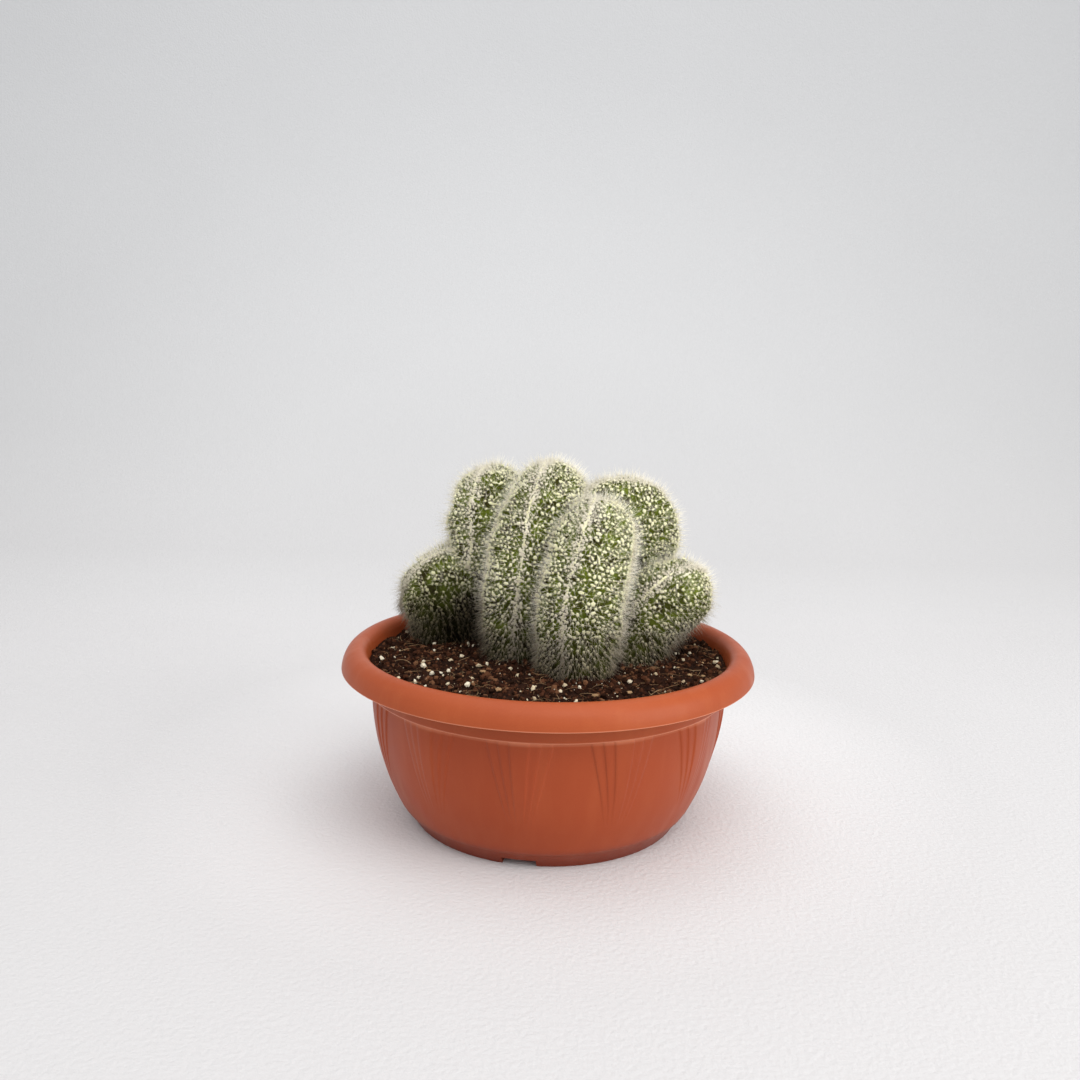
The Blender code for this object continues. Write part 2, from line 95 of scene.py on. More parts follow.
def spline(rows, step):
    # smooth curve through the rows, read off at even steps of the length of its first three columns
    p = np.array(rows, float)
    ends = np.vstack([2 * p[0] - p[1], p, 2 * p[-1] - p[-2]])
    t = np.linspace(0, 1, 30, endpoint=False)[:, None]
    spans = [(2 * b + (c - a) * t + (2 * a - 5 * b + 4 * c - d) * t**2 + (3 * b - a - 3 * c + d) * t**3) / 2
             for a, b, c, d in zip(ends, ends[1:], ends[2:], ends[3:])]
    curve = np.vstack(spans + [p[-1:]])
    length = lengthAlong(curve[:, :3])
    return atEven(length, max(3, round(length[-1] / step)) + 1, curve)[0]


def addToScene(name, data):
    obj = bpy.data.objects.new(name, data)
    bpy.context.scene.collection.objects.link(obj)
    return obj


def addAttribute(obj, name, values):
    obj.data.attributes.new(name, "FLOAT", "POINT").data.foreach_set("value", np.float32(values))


def addObject(name, points, faces, attributes=None, smooth=True):
    # points in millimetres, and an array or several of faces with three or four point numbers each
    groups = faces if isinstance(faces, list) else [faces]
    corners = np.concatenate([group.ravel() for group in groups])
    sizes = np.concatenate([np.full(len(group), group.shape[1]) for group in groups])
    mesh = bpy.data.meshes.new(name)
    mesh.vertices.add(len(points))
    mesh.vertices.foreach_set("co", np.float32(points * mm).ravel())
    mesh.loops.add(len(corners))
    mesh.loops.foreach_set("vertex_index", np.int32(corners))
    mesh.polygons.add(len(sizes))
    mesh.polygons.foreach_set("loop_start", np.int32(np.cumsum(sizes) - sizes))
    mesh.update(calc_edges=True)
    mesh.validate()
    mesh.shade_smooth() if smooth else mesh.shade_flat()
    obj = addToScene(name, mesh)
    for key, values in (attributes or {}).items():
        addAttribute(obj, key, values)
    return obj


def addShell(name, rings, poles):
    # a closed shell: rings of points, one after the other, and a pole at each end
    rows, columns = rings.shape[:2]
    here, first, pole = np.arange((rows - 1) * columns), np.arange(columns), rows * columns
    ahead = here // columns * columns + (here + 1) % columns
    caps = [np.stack([ring, np.roll(ring, -1), np.full(columns, point)], 1)
            for ring, point in ((first[::-1], pole), (first + pole - columns, pole + 1))]
    faces = [np.stack([here, ahead, ahead + columns, here + columns], 1), *caps]
    return addObject(name, np.vstack([rings.reshape(-1, 3), poles]), faces)


def withMesh(name, create, **values):
    # an object from one of bmesh's own shapes
    bm = bmesh.new()
    create(bm, **values)
    mesh = bpy.data.meshes.new(name)
    bm.to_mesh(mesh)
    bm.free()
    return addToScene(name, mesh)


def outward(obj):
    # turns a closed shell's faces out
    bm = bmesh.new()
    bm.from_mesh(obj.data)
    bmesh.ops.recalc_face_normals(bm, faces=bm.faces)
    bm.to_mesh(obj.data)
    bm.free()
    return obj


def boolean(obj, others, operation):
    # one Boolean with a collection of others, applied, and the others removed
    group = bpy.data.collections.new("operands")
    bpy.context.scene.collection.children.link(group)
    for other in others:
        bpy.context.scene.collection.objects.unlink(other)
        group.objects.link(other)
    modifier = obj.modifiers.new(operation.lower(), "BOOLEAN")
    modifier.operation = operation
    modifier.solver = "MANIFOLD"
    modifier.operand_type = "COLLECTION"
    modifier.collection = group
    made = bpy.data.meshes.new_from_object(obj.evaluated_get(bpy.context.evaluated_depsgraph_get()))
    obj.modifiers.clear()
    obj.data = made
    for other in others:
        bpy.data.objects.remove(other)
    bpy.data.collections.remove(group)


def dress(obj, material, node):
    # the piece takes the material, rides on the only body and stands for its solid
    obj.data.materials.clear()
    obj.data.materials.append(material)
    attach(obj, "root")
    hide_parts(node)
    return obj


# Shader nodes

def addNode(tree, kind, inputs=(), **settings):
    # its own settings, then inputs by name or number, as values or as sockets to link
    node = tree.nodes.new("ShaderNode" + kind)
    for key, value in settings.items():
        setattr(node, key, value)
    for key, value in dict(inputs).items():
        if isinstance(value, bpy.types.NodeSocket):
            tree.links.new(value, node.inputs[key])
        else:
            node.inputs[key].default_value = value
    return node


def newGroup(name, numbers, results):
    # a group that takes a Vector and numbers, and puts out numbers
    group = bpy.data.node_groups.new(name, "ShaderNodeTree")
    group.interface.new_socket("Vector", in_out="INPUT", socket_type="NodeSocketVector")
    for label, value in numbers.items():
        group.interface.new_socket(label, in_out="INPUT", socket_type="NodeSocketFloat").default_value = value
    for label in results:
        group.interface.new_socket(label, in_out="OUTPUT", socket_type="NodeSocketFloat")
    return group, group.nodes.new("NodeGroupInput").outputs, group.nodes.new("NodeGroupOutput").inputs


def mottleGroup():
    # soft patches and fine grain in one: a mask round 0.5 for colour and a height for bumps
    group, given, out = newGroup("mottle", {"Patch Scale": 60.0, "Grain Scale": 900.0, "Grain Share": 0.4},
                                 ("Mask", "Height"))
    patch, grain = (
        addNode(group, "TexNoise", {"Vector": given["Vector"], "Scale": given[scale], "Detail": detail})
        for scale, detail in (("Patch Scale", 3), ("Grain Scale", 4)))
    mix = addNode(group, "Mix", {"Factor": given["Grain Share"], "A": patch.outputs["Fac"],
                                 "B": grain.outputs["Fac"]})
    group.links.new(mix.outputs["Result"], out["Mask"])
    group.links.new(grain.outputs["Fac"], out["Height"])
    return group


def dustGroup():
    # where pale dust settles: more on what faces up, broken up by noise
    group, given, out = newGroup("dust", {"Scale": 120.0, "Amount": 0.3}, ("Mask",))
    noise = addNode(group, "TexNoise", {"Vector": given["Vector"], "Scale": given["Scale"], "Detail": 5})
    patchy = addNode(group, "MapRange", {"Value": noise.outputs["Fac"], "From Min": 0.42, "From Max": 0.72})
    normal = addNode(group, "NewGeometry").outputs["Normal"]
    upward = addNode(group, "SeparateXYZ", {"Vector": normal}).outputs["Z"]
    facing = addNode(group, "MapRange", {"Value": upward, "From Min": -0.2, "From Max": 0.9})
    mask = patchy.outputs["Result"]
    for factor in (facing.outputs["Result"], given["Amount"]):
        mask = addNode(group, "Math", {0: mask, 1: factor}, operation="MULTIPLY").outputs["Value"]
    group.links.new(mask, out["Mask"])
    return group


mottle = mottleGroup()
dust = dustGroup()


class Finish:
    # a Principled material and short calls to wire nodes in it

    def __init__(self, name, roughness, specular):
        self.material = bpy.data.materials.new(name)
        self.material.use_nodes = True
        self.tree = self.material.node_tree
        self.shader = self.tree.nodes["Principled BSDF"]
        self.shader.inputs["Roughness"].default_value = roughness
        self.shader.inputs["Specular IOR Level"].default_value = specular
        self.place = self.add("TexCoord").outputs["Object"]

    def add(self, kind, inputs=(), **settings):
        return addNode(self.tree, kind, inputs, **settings)

    def give(self, name, source):
        self.tree.links.new(source, self.shader.inputs[name])

    def attribute(self, name):
        return self.add("Attribute", attribute_name=name).outputs["Fac"]

    def mottled(self, patchScale, grainScale, grainShare):
        node = self.add("Group", {"Vector": self.place, "Patch Scale": patchScale, "Grain Scale": grainScale,
                                  "Grain Share": grainShare}, node_tree=mottle)
        return node.outputs["Mask"], node.outputs["Height"]

    def mapped(self, value, low, high, toLow=0.0, toHigh=1.0):
        return self.add("MapRange", {"Value": value, "From Min": low, "From Max": high, "To Min": toLow,
                                     "To Max": toHigh}).outputs["Result"]

    def ramp(self, value, stops):
        node = self.add("ValToRGB", {"Fac": value})
        elements = node.color_ramp.elements
        while len(elements) < len(stops):
            elements.new(0.5)
        for element, (place, colour) in zip(elements, stops):
            element.position = place
            element.color = (*colour, 1)
        return node.outputs["Color"]

    def mixed(self, factor, first, second, blend="MIX"):
        # the first colour where the factor is 0, the second where it is 1
        first, second = ((*colour, 1) if isinstance(colour, tuple) else colour for colour in (first, second))
        return self.add("Mix", {"Factor": factor, 6: first, 7: second}, data_type="RGBA",
                        blend_type=blend).outputs[2]

    def times(self, colour, tint, factor=1):
        # the colour, multiplied by a tint where the factor is 1
        return self.mixed(factor, colour, tint, "MULTIPLY")

    def height(self):
        return self.add("SeparateXYZ", {"Vector": self.place}).outputs["Z"]

    def low(self, top, clear):
        # 1 up to a height in metres, 0 above a second one
        return self.mapped(self.height(), top, clear, 1.0, 0.0)

    def near(self, place, radius):
        # 1 within the first radius of a place, 0 beyond the second
        apart = self.add("VectorMath", {0: self.place, 1: [value * mm for value in place]},
                         operation="DISTANCE")
        return self.mapped(apart.outputs["Value"], radius[0] * mm, radius[1] * mm, 1.0, 0.0)

    def bump(self, height, distance, strength):
        node = self.add("Bump", {"Height": height, "Distance": distance, "Strength": strength})
        self.give("Normal", node.outputs["Normal"])


# Camera, stage and lights

view = {"eye": (-5.1, -494.8, 221.7), "target": (-5.1, 0, 135.6), "rollDegrees": 1.2, "lens": 34.67,
        "sensor": 36}


def turnTowards(place, target):
    return (Vector(target) - Vector(place)).to_track_quat("-Z", "Y")


def makeCamera():
    camera = addToScene("camera", bpy.data.cameras.new("camera"))
    roll = Matrix.Rotation(math.radians(view["rollDegrees"]), 3, "Z")
    turn = turnTowards(view["eye"], view["target"]).to_matrix() @ roll
    camera.matrix_world = Matrix.Translation(Vector(view["eye"]) * mm) @ turn.to_4x4()
    camera.data.lens = view["lens"]
    camera.data.sensor_width = view["sensor"]
    camera.data.clip_start = 0.01
    bpy.context.scene.camera = camera


stage = {
    "halfWidth": 2600,
    "front": -1900,
    "bend": 330,  # where the floor starts to turn up
    "bendRadius": 700,
    "top": 2600,
    # the paper's colour on the floor and at shares of this height up the backdrop, in metres, graded with
    # height as painted shade
    "shadeHeight": 0.9,
    "paper": [(0, (0.61, 0.600, 0.602)), (0.007, (0.587, 0.580, 0.582)), (0.03, (0.550, 0.544, 0.546)),
              (0.15, (0.540, 0.539, 0.542)), (0.3, (0.548, 0.549, 0.554)), (0.48, (0.552, 0.555, 0.561)),
              (1, (0.540, 0.546, 0.556))],
    # painted light and shade: lighter round the bowl, where it thins the bowl's shadow, and at the bend, and
    # darker at the right: place, radii and factor
    "paintedLightAndShade": (((0, 70, 0), (90, 230), 1.21), ((0, 600, 0), (350, 750), 1.09),
              ((1300, 700, 300), (500, 1600), 0.92)),
    "patchTint": 0.955,
}


def makeStage():
    # a floor that turns up into a backdrop: a straight, a quarter circle and a straight, carried along X
    turn = np.linspace(0, math.pi / 2, 25)
    bendY = stage["bend"] + stage["bendRadius"] * np.sin(turn)
    bendZ = stage["bendRadius"] * (1 - np.cos(turn))
    y = np.concatenate([[stage["front"]], bendY, [stage["bend"] + stage["bendRadius"]]])
    z = np.concatenate([[0], bendZ, [stage["top"]]])
    x = np.array([-stage["halfWidth"], stage["halfWidth"]])
    points = np.stack([np.repeat(x, len(y)), np.tile(y, 2), np.tile(z, 2)], 1)
    k = np.arange(len(y) - 1)
    floor = addObject("floor", points, np.stack([k, k + len(y), k + len(y) + 1, k + 1], 1))
    finish = Finish("stage paper", 0.95, 0.1)
    mask, height = finish.mottled(9.0, 420.0, 0.5)
    paper = finish.ramp(finish.mapped(finish.height(), 0, stage["shadeHeight"]), stage["paper"])
    # painted light and shade on the paper: lighter round the bowl and at the bend, darker at the right
    for place, radius, factor in stage["paintedLightAndShade"]:
        paper = finish.times(paper, (factor,) * 3, finish.near(place, radius))
    finish.give("Base Color", finish.mixed(mask, paper, finish.times(paper, (stage["patchTint"],) * 3)))
    finish.bump(height, 0.0009, 0.5)
    floor.data.materials.append(finish.material)


lamps = (
    # name, place, what it faces, width and height, watts, colour
    ("key", (420, -800, 1450), (0, 0, 60), (1150, 1150), 9.2, (1, 0.985, 0.955)),
    ("top", (0, 250, 1500), (0, 0, 60), (1300, 1300), 4.6, (1, 0.995, 0.985)),
    ("fill", (-350, -1200, 1300), (0, 0, 90), (1300, 1000), 3.2, (1, 0.99, 0.97)),
    ("side", (1150, -650, 560), (0, 0, 60), (1000, 900), 9, (1, 0.99, 0.975)),
    ("back", (-600, -200, 1500), (-100, 900, 500), (1600, 700), 2.4, (1, 1, 1)),
)
sky = {"Color": (0.97, 0.98, 1.0, 1), "Strength": 0.80}


def makeLights():
    for name, place, target, size, watts, colour in lamps:
        data = bpy.data.lights.new(name, "AREA")
        data.shape = "RECTANGLE"
        data.size, data.size_y = size[0] * mm, size[1] * mm
        data.energy = watts
        data.color = colour
        lamp = addToScene(name, data)
        lamp.location = Vector(place) * mm
        lamp.rotation_mode = "QUATERNION"
        lamp.rotation_quaternion = turnTowards(place, target)
    world = bpy.data.worlds.new("soft light")
    world.use_nodes = True
    for key, value in sky.items():
        world.node_tree.nodes["Background"].inputs[key].default_value = value
    bpy.context.scene.world = world
    bpy.context.scene.view_settings.view_transform = "Standard"


makeCamera()
makeStage()
makeLights()
print("camera, stage and lights made")


# Bowl

bowl = {
    "wall": 1.8,
    "wallFoot": 71.2,  # the wall's radius at the foot, and how much wider it gets at the band
    "wallSwell": 15.4,
    "footHeight": 8,
    "bandHeight": 64,
    # turned profile as radius and height: the roll of the rim, its hanging skirt's edge, what is
    # under it, the step below the band, and the foot
    "floorInside": [(6, 6.8), (61.5, 6.8)],
    "roll": [(87.3, 80.5), (88.4, 83), (90.2, 84.6), (92.4, 85), (95.2, 84.1), (97.7, 81.7), (99.3, 78.3),
             (99.93, 75.4)],
    "skirt": [(99.93, 75.05), (99.6, 74.75), (99.1, 74.72), (98.55, 74.95), (98.25, 75.5)],
    "under": [(98.1, 76), (96, 80.3), (93, 82.2), (89.9, 80.6), (88.6, 74), (87.75, 66.2)],
    "step": [(87.7, 65.9), (87.45, 65.5), (86.9, 65.3)],
    "foot": [(71.0, 7.9), (70.3, 7.55), (69.6, 7), (65.65, 0.5), (65.4, 0.12), (65, 0), (60.4, 0),
             (60.1, 0.2), (60, 0.6), (59, 4.6), (6, 4.6)],
    "sharpDegrees": 38,
}
# painted highlight: pale lines where the skirt's lower edge and the step under the band catch the light
edgeHighlight = (  # pale edges: least radius, height, and how far up and down they are full and faded out
    (98, 74.8, 0.15, 0.6),
    (85, 65.4, 0.2, 0.7),
)
pleats = {
    "count": 12,
    "turn": -8,  # azimuth of the middle of the first group
    "edges": (9.7, 6.3, 3),  # degrees from the middle, under the band
    "edgeWidth": 0.5,
    "between": (1, 2, 4, 5.1, 7.4, 8.5, 10.7, 12, 13.5),  # further columns of points
    "depth": 0.5,
    "bottom": 20,
    "top": 64.5,
    "narrow": 0.3,  # how close the edges have come at the bottom, as a share
}
# Cuts, each round the bowl's axis at a radius, with its middle at a height
footNotch = {"count": 3, "turn": -10, "radius": 65.5, "middle": -1.3, "size": (15.5, 20, 10)}
drain = {"count": 6, "turn": 30, "radius": 42, "middle": 6.8, "width": 8, "depth": 12}


def wallRadius(z):
    # quarter of a sine, a little sharpened, from the foot to the band
    share = np.clip((z - bowl["footHeight"]) / (bowl["bandHeight"] - bowl["footHeight"]), 0, 1)
    return bowl["wallFoot"] + bowl["wallSwell"] * np.sin(share * math.pi / 2) ** 0.86


def pleatColumns():
    # degrees from a pleat's middle under the band, close together across each edge
    half = pleats["edgeWidth"] / 2
    near = [edge + half * side for edge in pleats["edges"] for side in (-1, -0.35, 0.35, 1)]
    right = np.sort([*near, *pleats["between"]])
    return np.concatenate([-right[::-1], [0], right, [180 / pleats["count"]]])


def pleatSpread(z):
    # how far apart the edges stand at a height, as a share, and how high up it is between bottom and top
    share = np.clip((z - pleats["bottom"]) / (pleats["top"] - pleats["bottom"]), 0, 1)
    return pleats["narrow"] + (1 - pleats["narrow"]) * share, share


def pleatDepth(offset, share):
    # nested terraces: each edge of a V steps out by the same depth, its middle lies on the wall's profile,
    # and the depth fades out downwards
    half = pleats["edgeWidth"] / 2
    steps = sum(smoothStep(edge - half, edge + half, np.abs(offset)) for edge in pleats["edges"])
    return pleats["depth"] * steps * smoothStep(0, 0.8, share)


def bowlProfile():
    def onWall(heights, thick=0):
        return np.stack([wallRadius(heights) - thick, heights], 1)

    inside = onWall(np.array([9, 13, 20, 30, 42, 54, 64.0]), bowl["wall"])
    wall = onWall(np.linspace(65.0, bowl["footHeight"], 34))
    roll, under = (spline([(r, z, 0) for r, z in bowl[part]], step)[:, :2]
                   for part, step in (("roll", 0.9), ("under", 2.2)))
    parts = [bowl["floorInside"], inside, roll, bowl["skirt"], under, bowl["step"], wall, bowl["foot"]]
    profile = np.vstack([np.array(part, float) for part in parts])
    pleated = np.concatenate([np.full(len(part), part is wall) for part in parts])
    return profile, pleated


def notchAndDrainCutters():
    def around(kind):
        for k in range(kind["count"]):
            turn = math.radians(kind["turn"] + 360 / kind["count"] * k)
            yield turn, Matrix.Translation(Vector((*polar(kind["radius"], turn), kind["middle"])) * mm)

    size = Matrix.Diagonal((*Vector(footNotch["size"]) * mm, 1))
    cutters = [withMesh("notch", bmesh.ops.create_cube, size=1,
                        matrix=place @ Matrix.Rotation(turn, 4, "Z") @ size)
               for turn, place in around(footNotch)]
    half, depth = drain["width"] / 2 * mm, drain["depth"] * mm
    cutters += [withMesh("drain", bmesh.ops.create_cone, cap_ends=True, segments=32, radius1=half,
                         radius2=half, depth=depth, matrix=place) for _, place in around(drain)]
    return cutters


def makeBowl():
    # a profile turned round Z: radius from the profile less the pleats' depth, in columns that follow
    # the pleats' edges as these draw together downwards
    profile, pleated = bowlProfile()
    offset, middle = pleatColumns(), np.arange(pleats["count"]) * 360 / pleats["count"] + pleats["turn"]
    spread, share = pleatSpread(profile[:, 1:])
    edge, end = pleats["edges"][0] + 1, 180 / pleats["count"]
    inner = np.clip(offset, -edge, edge)
    moved = inner * spread + (offset - inner) * (end - edge * spread) / (end - edge)
    depth = np.where(pleated[:, None], pleatDepth(offset[None], share), 0)
    radius = profile[:, :1] - np.tile(depth, pleats["count"])
    turn = np.radians((middle[None, :, None] + moved[:, None, :]).reshape(len(profile), -1))
    x, y = polar(radius, turn)
    z = np.broadcast_to(profile[:, 1:], x.shape)
    obj = addShell("bowl", np.stack([x, y, z], 2), [[0, 0, profile[0, 1]], [0, 0, profile[-1, 1]]])
    boolean(obj, notchAndDrainCutters(), "DIFFERENCE")
    obj.data.shade_smooth()
    obj.data.set_sharp_from_angle(angle=math.radians(bowl["sharpDegrees"]))
    addAttribute(obj, "edgeHighlight", paintedEdgeHighlights(obj))
    return obj


def paintedEdgeHighlights(obj):
    # 1 on the skirt's lower edge and on the step under the band, where the painted highlight goes
    points = np.empty(3 * len(obj.data.vertices), np.float32)
    obj.data.vertices.foreach_get("co", points)
    x, y, z = points.reshape(-1, 3).T / mm
    radius = np.hypot(x, y)
    return np.clip(sum((radius > least) * (1 - smoothStep(full, faded, np.abs(z - height)))
                       for least, height, full, faded in edgeHighlight), 0, 1)


def bowlPlastic():
    # satin plastic: upright streaks, glossier and paler, the paler colour a painted sheen, a fine grain,
    # painted highlights on the skirt's edge and the step, painted shade deepening the wall below the band and
    # painted shade darkening the foot
    finish = Finish("terracotta plastic", 0.42, 0.22)
    mask, height = finish.mottled(14.0, 1500.0, 0.25)
    base = finish.ramp(mask, [(0.3, (0.330, 0.0600, 0.0165)), (0.7, (0.389, 0.0790, 0.0220))])
    upright = finish.add("Mapping", {"Vector": finish.place, "Scale": (1, 1, 0.05)}).outputs["Vector"]
    streak = finish.add("TexNoise", {"Vector": upright, "Scale": 130, "Detail": 4}).outputs["Fac"]
    # upright streaks: glossier in roughness below, and paler in colour as a painted sheen
    base = finish.mixed(finish.mapped(streak, 0.48, 0.75), base, finish.times(base, (1.06, 1.16, 1.22)))
    # painted shade: the wall below the band darker than the rim
    base = finish.times(base, (0.92, 0.80, 0.81), finish.low(0.060, 0.072))
    # painted shade: the foot darker, as the contact shadow near the floor
    base = finish.times(base, (0.58, 0.45, 0.42), finish.low(0.002, 0.012))
    # painted highlight on the skirt's lower edge and the step
    finish.give("Base Color", finish.mixed(finish.attribute("edgeHighlight"), base, (0.66, 0.24, 0.13)))
    finish.give("Roughness", finish.mapped(streak, 0.3, 0.7, 0.46, 0.36))
    finish.bump(height, 0.00006, 0.5)
    return finish.material


dress(makeBowl(), bowlPlastic(), "pot")
print("bowl made")


# Plant: the folds, as cross-sections one after the other: x, y, z and half thickness of the crest, then
# x, y, z of the root. The crest's point is the middle of the slab's round edge.

folds = {
    "left": [
        (-20, 30, 116, 17, -20, 36, 78), (-36, 27, 112, 18.3, -33, 35, 74),
        (-48, 24.5, 108.5, 18.8, -44, 33.5, 73), (-56.5, 23, 103, 18.8, -53.5, 31, 73),
    ],
    "upperLeft": [
        (-34.5, 27, 106, 16.5, -27, 36, 98), (-32.7, 23.5, 122, 16.4, -27.5, 35.5, 114),
        (-33.1, 23, 136, 16.8, -28, 34.5, 125), (-32, 28, 146.8, 17, -26, 37, 130),
        (-29.5, 38, 150.3, 16.6, -24, 40, 131), (-28, 49, 146, 16, -24, 44, 129),
        (-27, 57, 133, 16, -24.5, 47, 122), (-27.5, 59, 116, 16, -24.5, 46, 110),
        (-28, 57, 96, 15.5, -24, 42, 93), (-28, 53, 66, 14, -23, 38, 66),
    ],
    "centre": [
        (-14.5, -1, 66, 15.5, -12, 14, 66), (-14.5, -3, 90, 17, -12.5, 13, 88.5),
        (-13, -4, 115, 17.3, -12, 11, 107), (-9.5, -1, 134.5, 17.3, -9.5, 10.5, 121.5),
        (-4, 7, 149.5, 16.7, -2.5, 14, 130.5), (0, 18, 154.5, 16.5, 5, 20.5, 134),
        (2, 31, 150.5, 16, 5, 28, 130), (3, 43, 137, 16, 3, 34.5, 121),
        (3, 50, 116, 16, 3, 38.5, 105.5), (3, 51, 90, 15.5, 3, 35, 87.5),
        (3, 49, 66, 15, 3, 34, 66),
    ],
    "front": [
        (12.8, -24.5, 66, 16, 19.5, -6, 66), (12.8, -25.5, 88, 17.8, 20, -8, 88),
        (13.8, -25, 107, 19, 20.5, -9, 102), (17, -21, 124.5, 18.8, 21.5, -9, 114),
        (20, -11, 136, 18.3, 22.5, -2, 120.5), (22, 2, 137.5, 17.5, 22, 6.5, 121),
        (22.5, 13, 131, 16, 21, 13.5, 116), (22, 20, 118, 15, 20.5, 18.5, 109),
    ],
    "upperRight": [
        (13, 24, 124, 15, 14, 24, 113), (21.5, 20.5, 138, 16.5, 20, 21.5, 125.5),
        (31.5, 20, 145.8, 17.3, 28, 21, 130), (43, 21.5, 144, 17.6, 34.5, 20.5, 129),
        (46.5, 26.5, 133, 17.2, 38.5, 17.5, 122), (43.5, 33, 118, 16.9, 37, 22, 111),
        (38, 40, 100, 16.8, 31, 28, 96), (34, 44, 82, 15.5, 23, 30, 81),
        (32, 44, 66, 14, 22, 30, 66),
    ],
    "right": [
        (38, -3, 66, 14, 42, 12, 66), (39.5, -2, 81, 16.3, 45, 10.5, 80),
        (45, 0.5, 94.5, 17.5, 50, 11.5, 89), (53, 4, 102.5, 18.6, 55.5, 13, 94),
        (61.5, 7.5, 107, 19, 62, 13.5, 98),
    ],
    "backRight": [
        (34, 36, 98, 14, 32, 33, 70), (46, 34, 101, 16, 42, 31, 70),
        (56, 31, 98, 16.5, 52, 29, 70),
    ],
    "backLeft": [
        (-25, 47, 98, 14, -22, 38, 70), (-38, 46, 101, 15, -34, 38, 70),
        (-50, 44, 97, 15.5, -46, 38, 70),
    ],
}
openEnds = ("left", "right", "backRight", "backLeft")  # their last section is rounded off
# Fleshy middles that the folds grow from: x and y, then rings of height, half width and half depth
hearts = (
    ((6, 21), ((60, 28, 21), (80, 29, 22), (100, 31, 23), (118, 27, 20), (130, 16, 12), (136, 4, 3))),
    ((-24, 40), ((60, 11, 10), (95, 13, 12), (115, 13, 13), (126, 12, 12), (134, 8, 6))),
    ((20, -2), ((60, 11, 12), (90, 13, 13), (108, 14, 14), (119, 12, 11), (125, 6, 5))),
    ((29, 26), ((60, 12, 10), (100, 14, 12), (116, 14, 13), (126, 11, 11), (133, 6, 6))),
)
plant = {
    "ribStep": 2.05,  # from rib to rib along the crest
    "areoleStep": 2.4,  # from areole to areole down a rib, and how close they are at the crest; each
    "youngStep": 1.5,  # rib has them half a step later than its neighbours
    "ribSamples": 2,
    "aroundStep": 1.35,
    "rib": 0.3,  # half height of the ribs, and of the tubercles on them
    "tubercle": 0.5,
    "swell": 0.55,  # half height of broad uneven swellings, and their pitch
    "swellPitch": 17,
    "rootShare": 0.8,  # of the crest's thickness
    "buriedBottom": 68,
    "cutterSize": (300, 300, 100),  # takes off what is under that
    "endDegrees": range(5, 90, 4),  # rings that round off an open end
    "heartColumns": 24,
}


# The growing edge: a band of young wool along each crest, wide where the crest faces up
growth = {
    "step": 1.4,  # between tufts
    "halfWidth": (0.75, 2.6),
    "facing": (0.1, 0.75),  # upward share of the direction at the narrow and the wide end
    "size": 0.9,
    "cordStep": 1.15,  # between the tufts of the line in the middle
    "cordAge": 0.8,
    "jitter": 0.3,
    "above": 0.3,
    "lastTurn": 1.5,  # round an open end, in radians
}


def foldFrame(rows, step):
    # Crest and root lines with half thicknesses, and tangent, inward and sideways directions, at even
    # steps of the outermost line, so that ribs stand evenly on the crest and draw together at the root.
    # The growing edge's half width is wide where the crest faces up. The reach is the way from the crest
    # round the arc and down the flank to the root.
    line = spline(rows, 0.5)
    crest, root = line[:, :4], np.column_stack([line[:, 4:], plant["rootShare"] * line[:, 3]])
    tangent = unit(np.gradient(crest[:, :3], axis=0))
    inward = root[:, :3] - crest[:, :3]
    inward = unit(inward - (inward * tangent).sum(1, keepdims=True) * tangent)
    length = lengthAlong(crest[:, :3] - crest[:, 3:] * inward)
    crest, root, tangent, inward = atEven(length, round(length[-1] / step) + 1, crest, root, tangent, inward)
    tangent, inward = unit(tangent), unit(inward)
    low, high = growth["halfWidth"]
    depth = np.linalg.norm(root[:, :3] - crest[:, :3], axis=1)
    return {"crest": crest, "root": root, "tangent": tangent, "inward": inward,
            "sideways": unit(np.cross(tangent, inward)), "depth": depth,
            "width": low + (high - low) * smoothStep(*growth["facing"], -inward[:, 2]),
            "reach": crest[:, 3] * math.pi / 2 + depth}


def areoleNumber(along, width):
    # how many areoles a rib has had at a distance from the crest: even steps, and more near the crest
    # by an exponential that fades over the width of the growing edge
    extra = 1 / plant["youngStep"] - 1 / plant["areoleStep"]
    return along / plant["areoleStep"] + extra * width * (1 - np.exp(-along / width))


def relief(rib, along, width):
    # ribs as a cosine of the rib number, tubercles as a product of two cosines with its tops at the
    # areoles, which stand half a step apart on neighbouring ribs
    ribs = np.cos(2 * math.pi * rib)
    tubercles = np.cos(math.pi * rib) * np.cos(2 * math.pi * areoleNumber(along, width))
    return (plant["rib"] * ribs + plant["tubercle"] * tubercles) * smoothStep(-0.4, 3.5, along)


def swelling(points):
    return plant["swell"] * waveField(points, plant["swellPitch"], 31)


def foldPoints(foldLine, k, side, along, lean, raised=True):
    # The surface at crest step k: an arc of a quarter turn on each side of the crest, then the flank,
    # straight to the root. along is the distance from the crest round the section.
    # Returns points and outward directions.
    crest, root = foldLine["crest"][k], foldLine["root"][k]
    quarter = crest[:, 3] * math.pi / 2
    turn = np.minimum(along / crest[:, 3], math.pi / 2)
    share = np.clip((along - quarter) / foldLine["depth"][k], 0, 1)
    out = turned(turn, -foldLine["inward"][k], side[:, None] * foldLine["sideways"][k])
    centre = crest[:, :3] + share[:, None] * (root[:, :3] - crest[:, :3])
    radius = crest[:, 3] + share * (root[:, 3] - crest[:, 3])
    out = turned(lean, out, foldLine["tangent"][k])
    if raised:
        bumps = relief(k / plant["ribSamples"], along, foldLine["width"][k])
        bumps = bumps + swelling(centre + radius[:, None] * out)
        radius = radius + bumps * (share < 1) * np.cos(lean)
    return centre + radius[:, None] * out, out


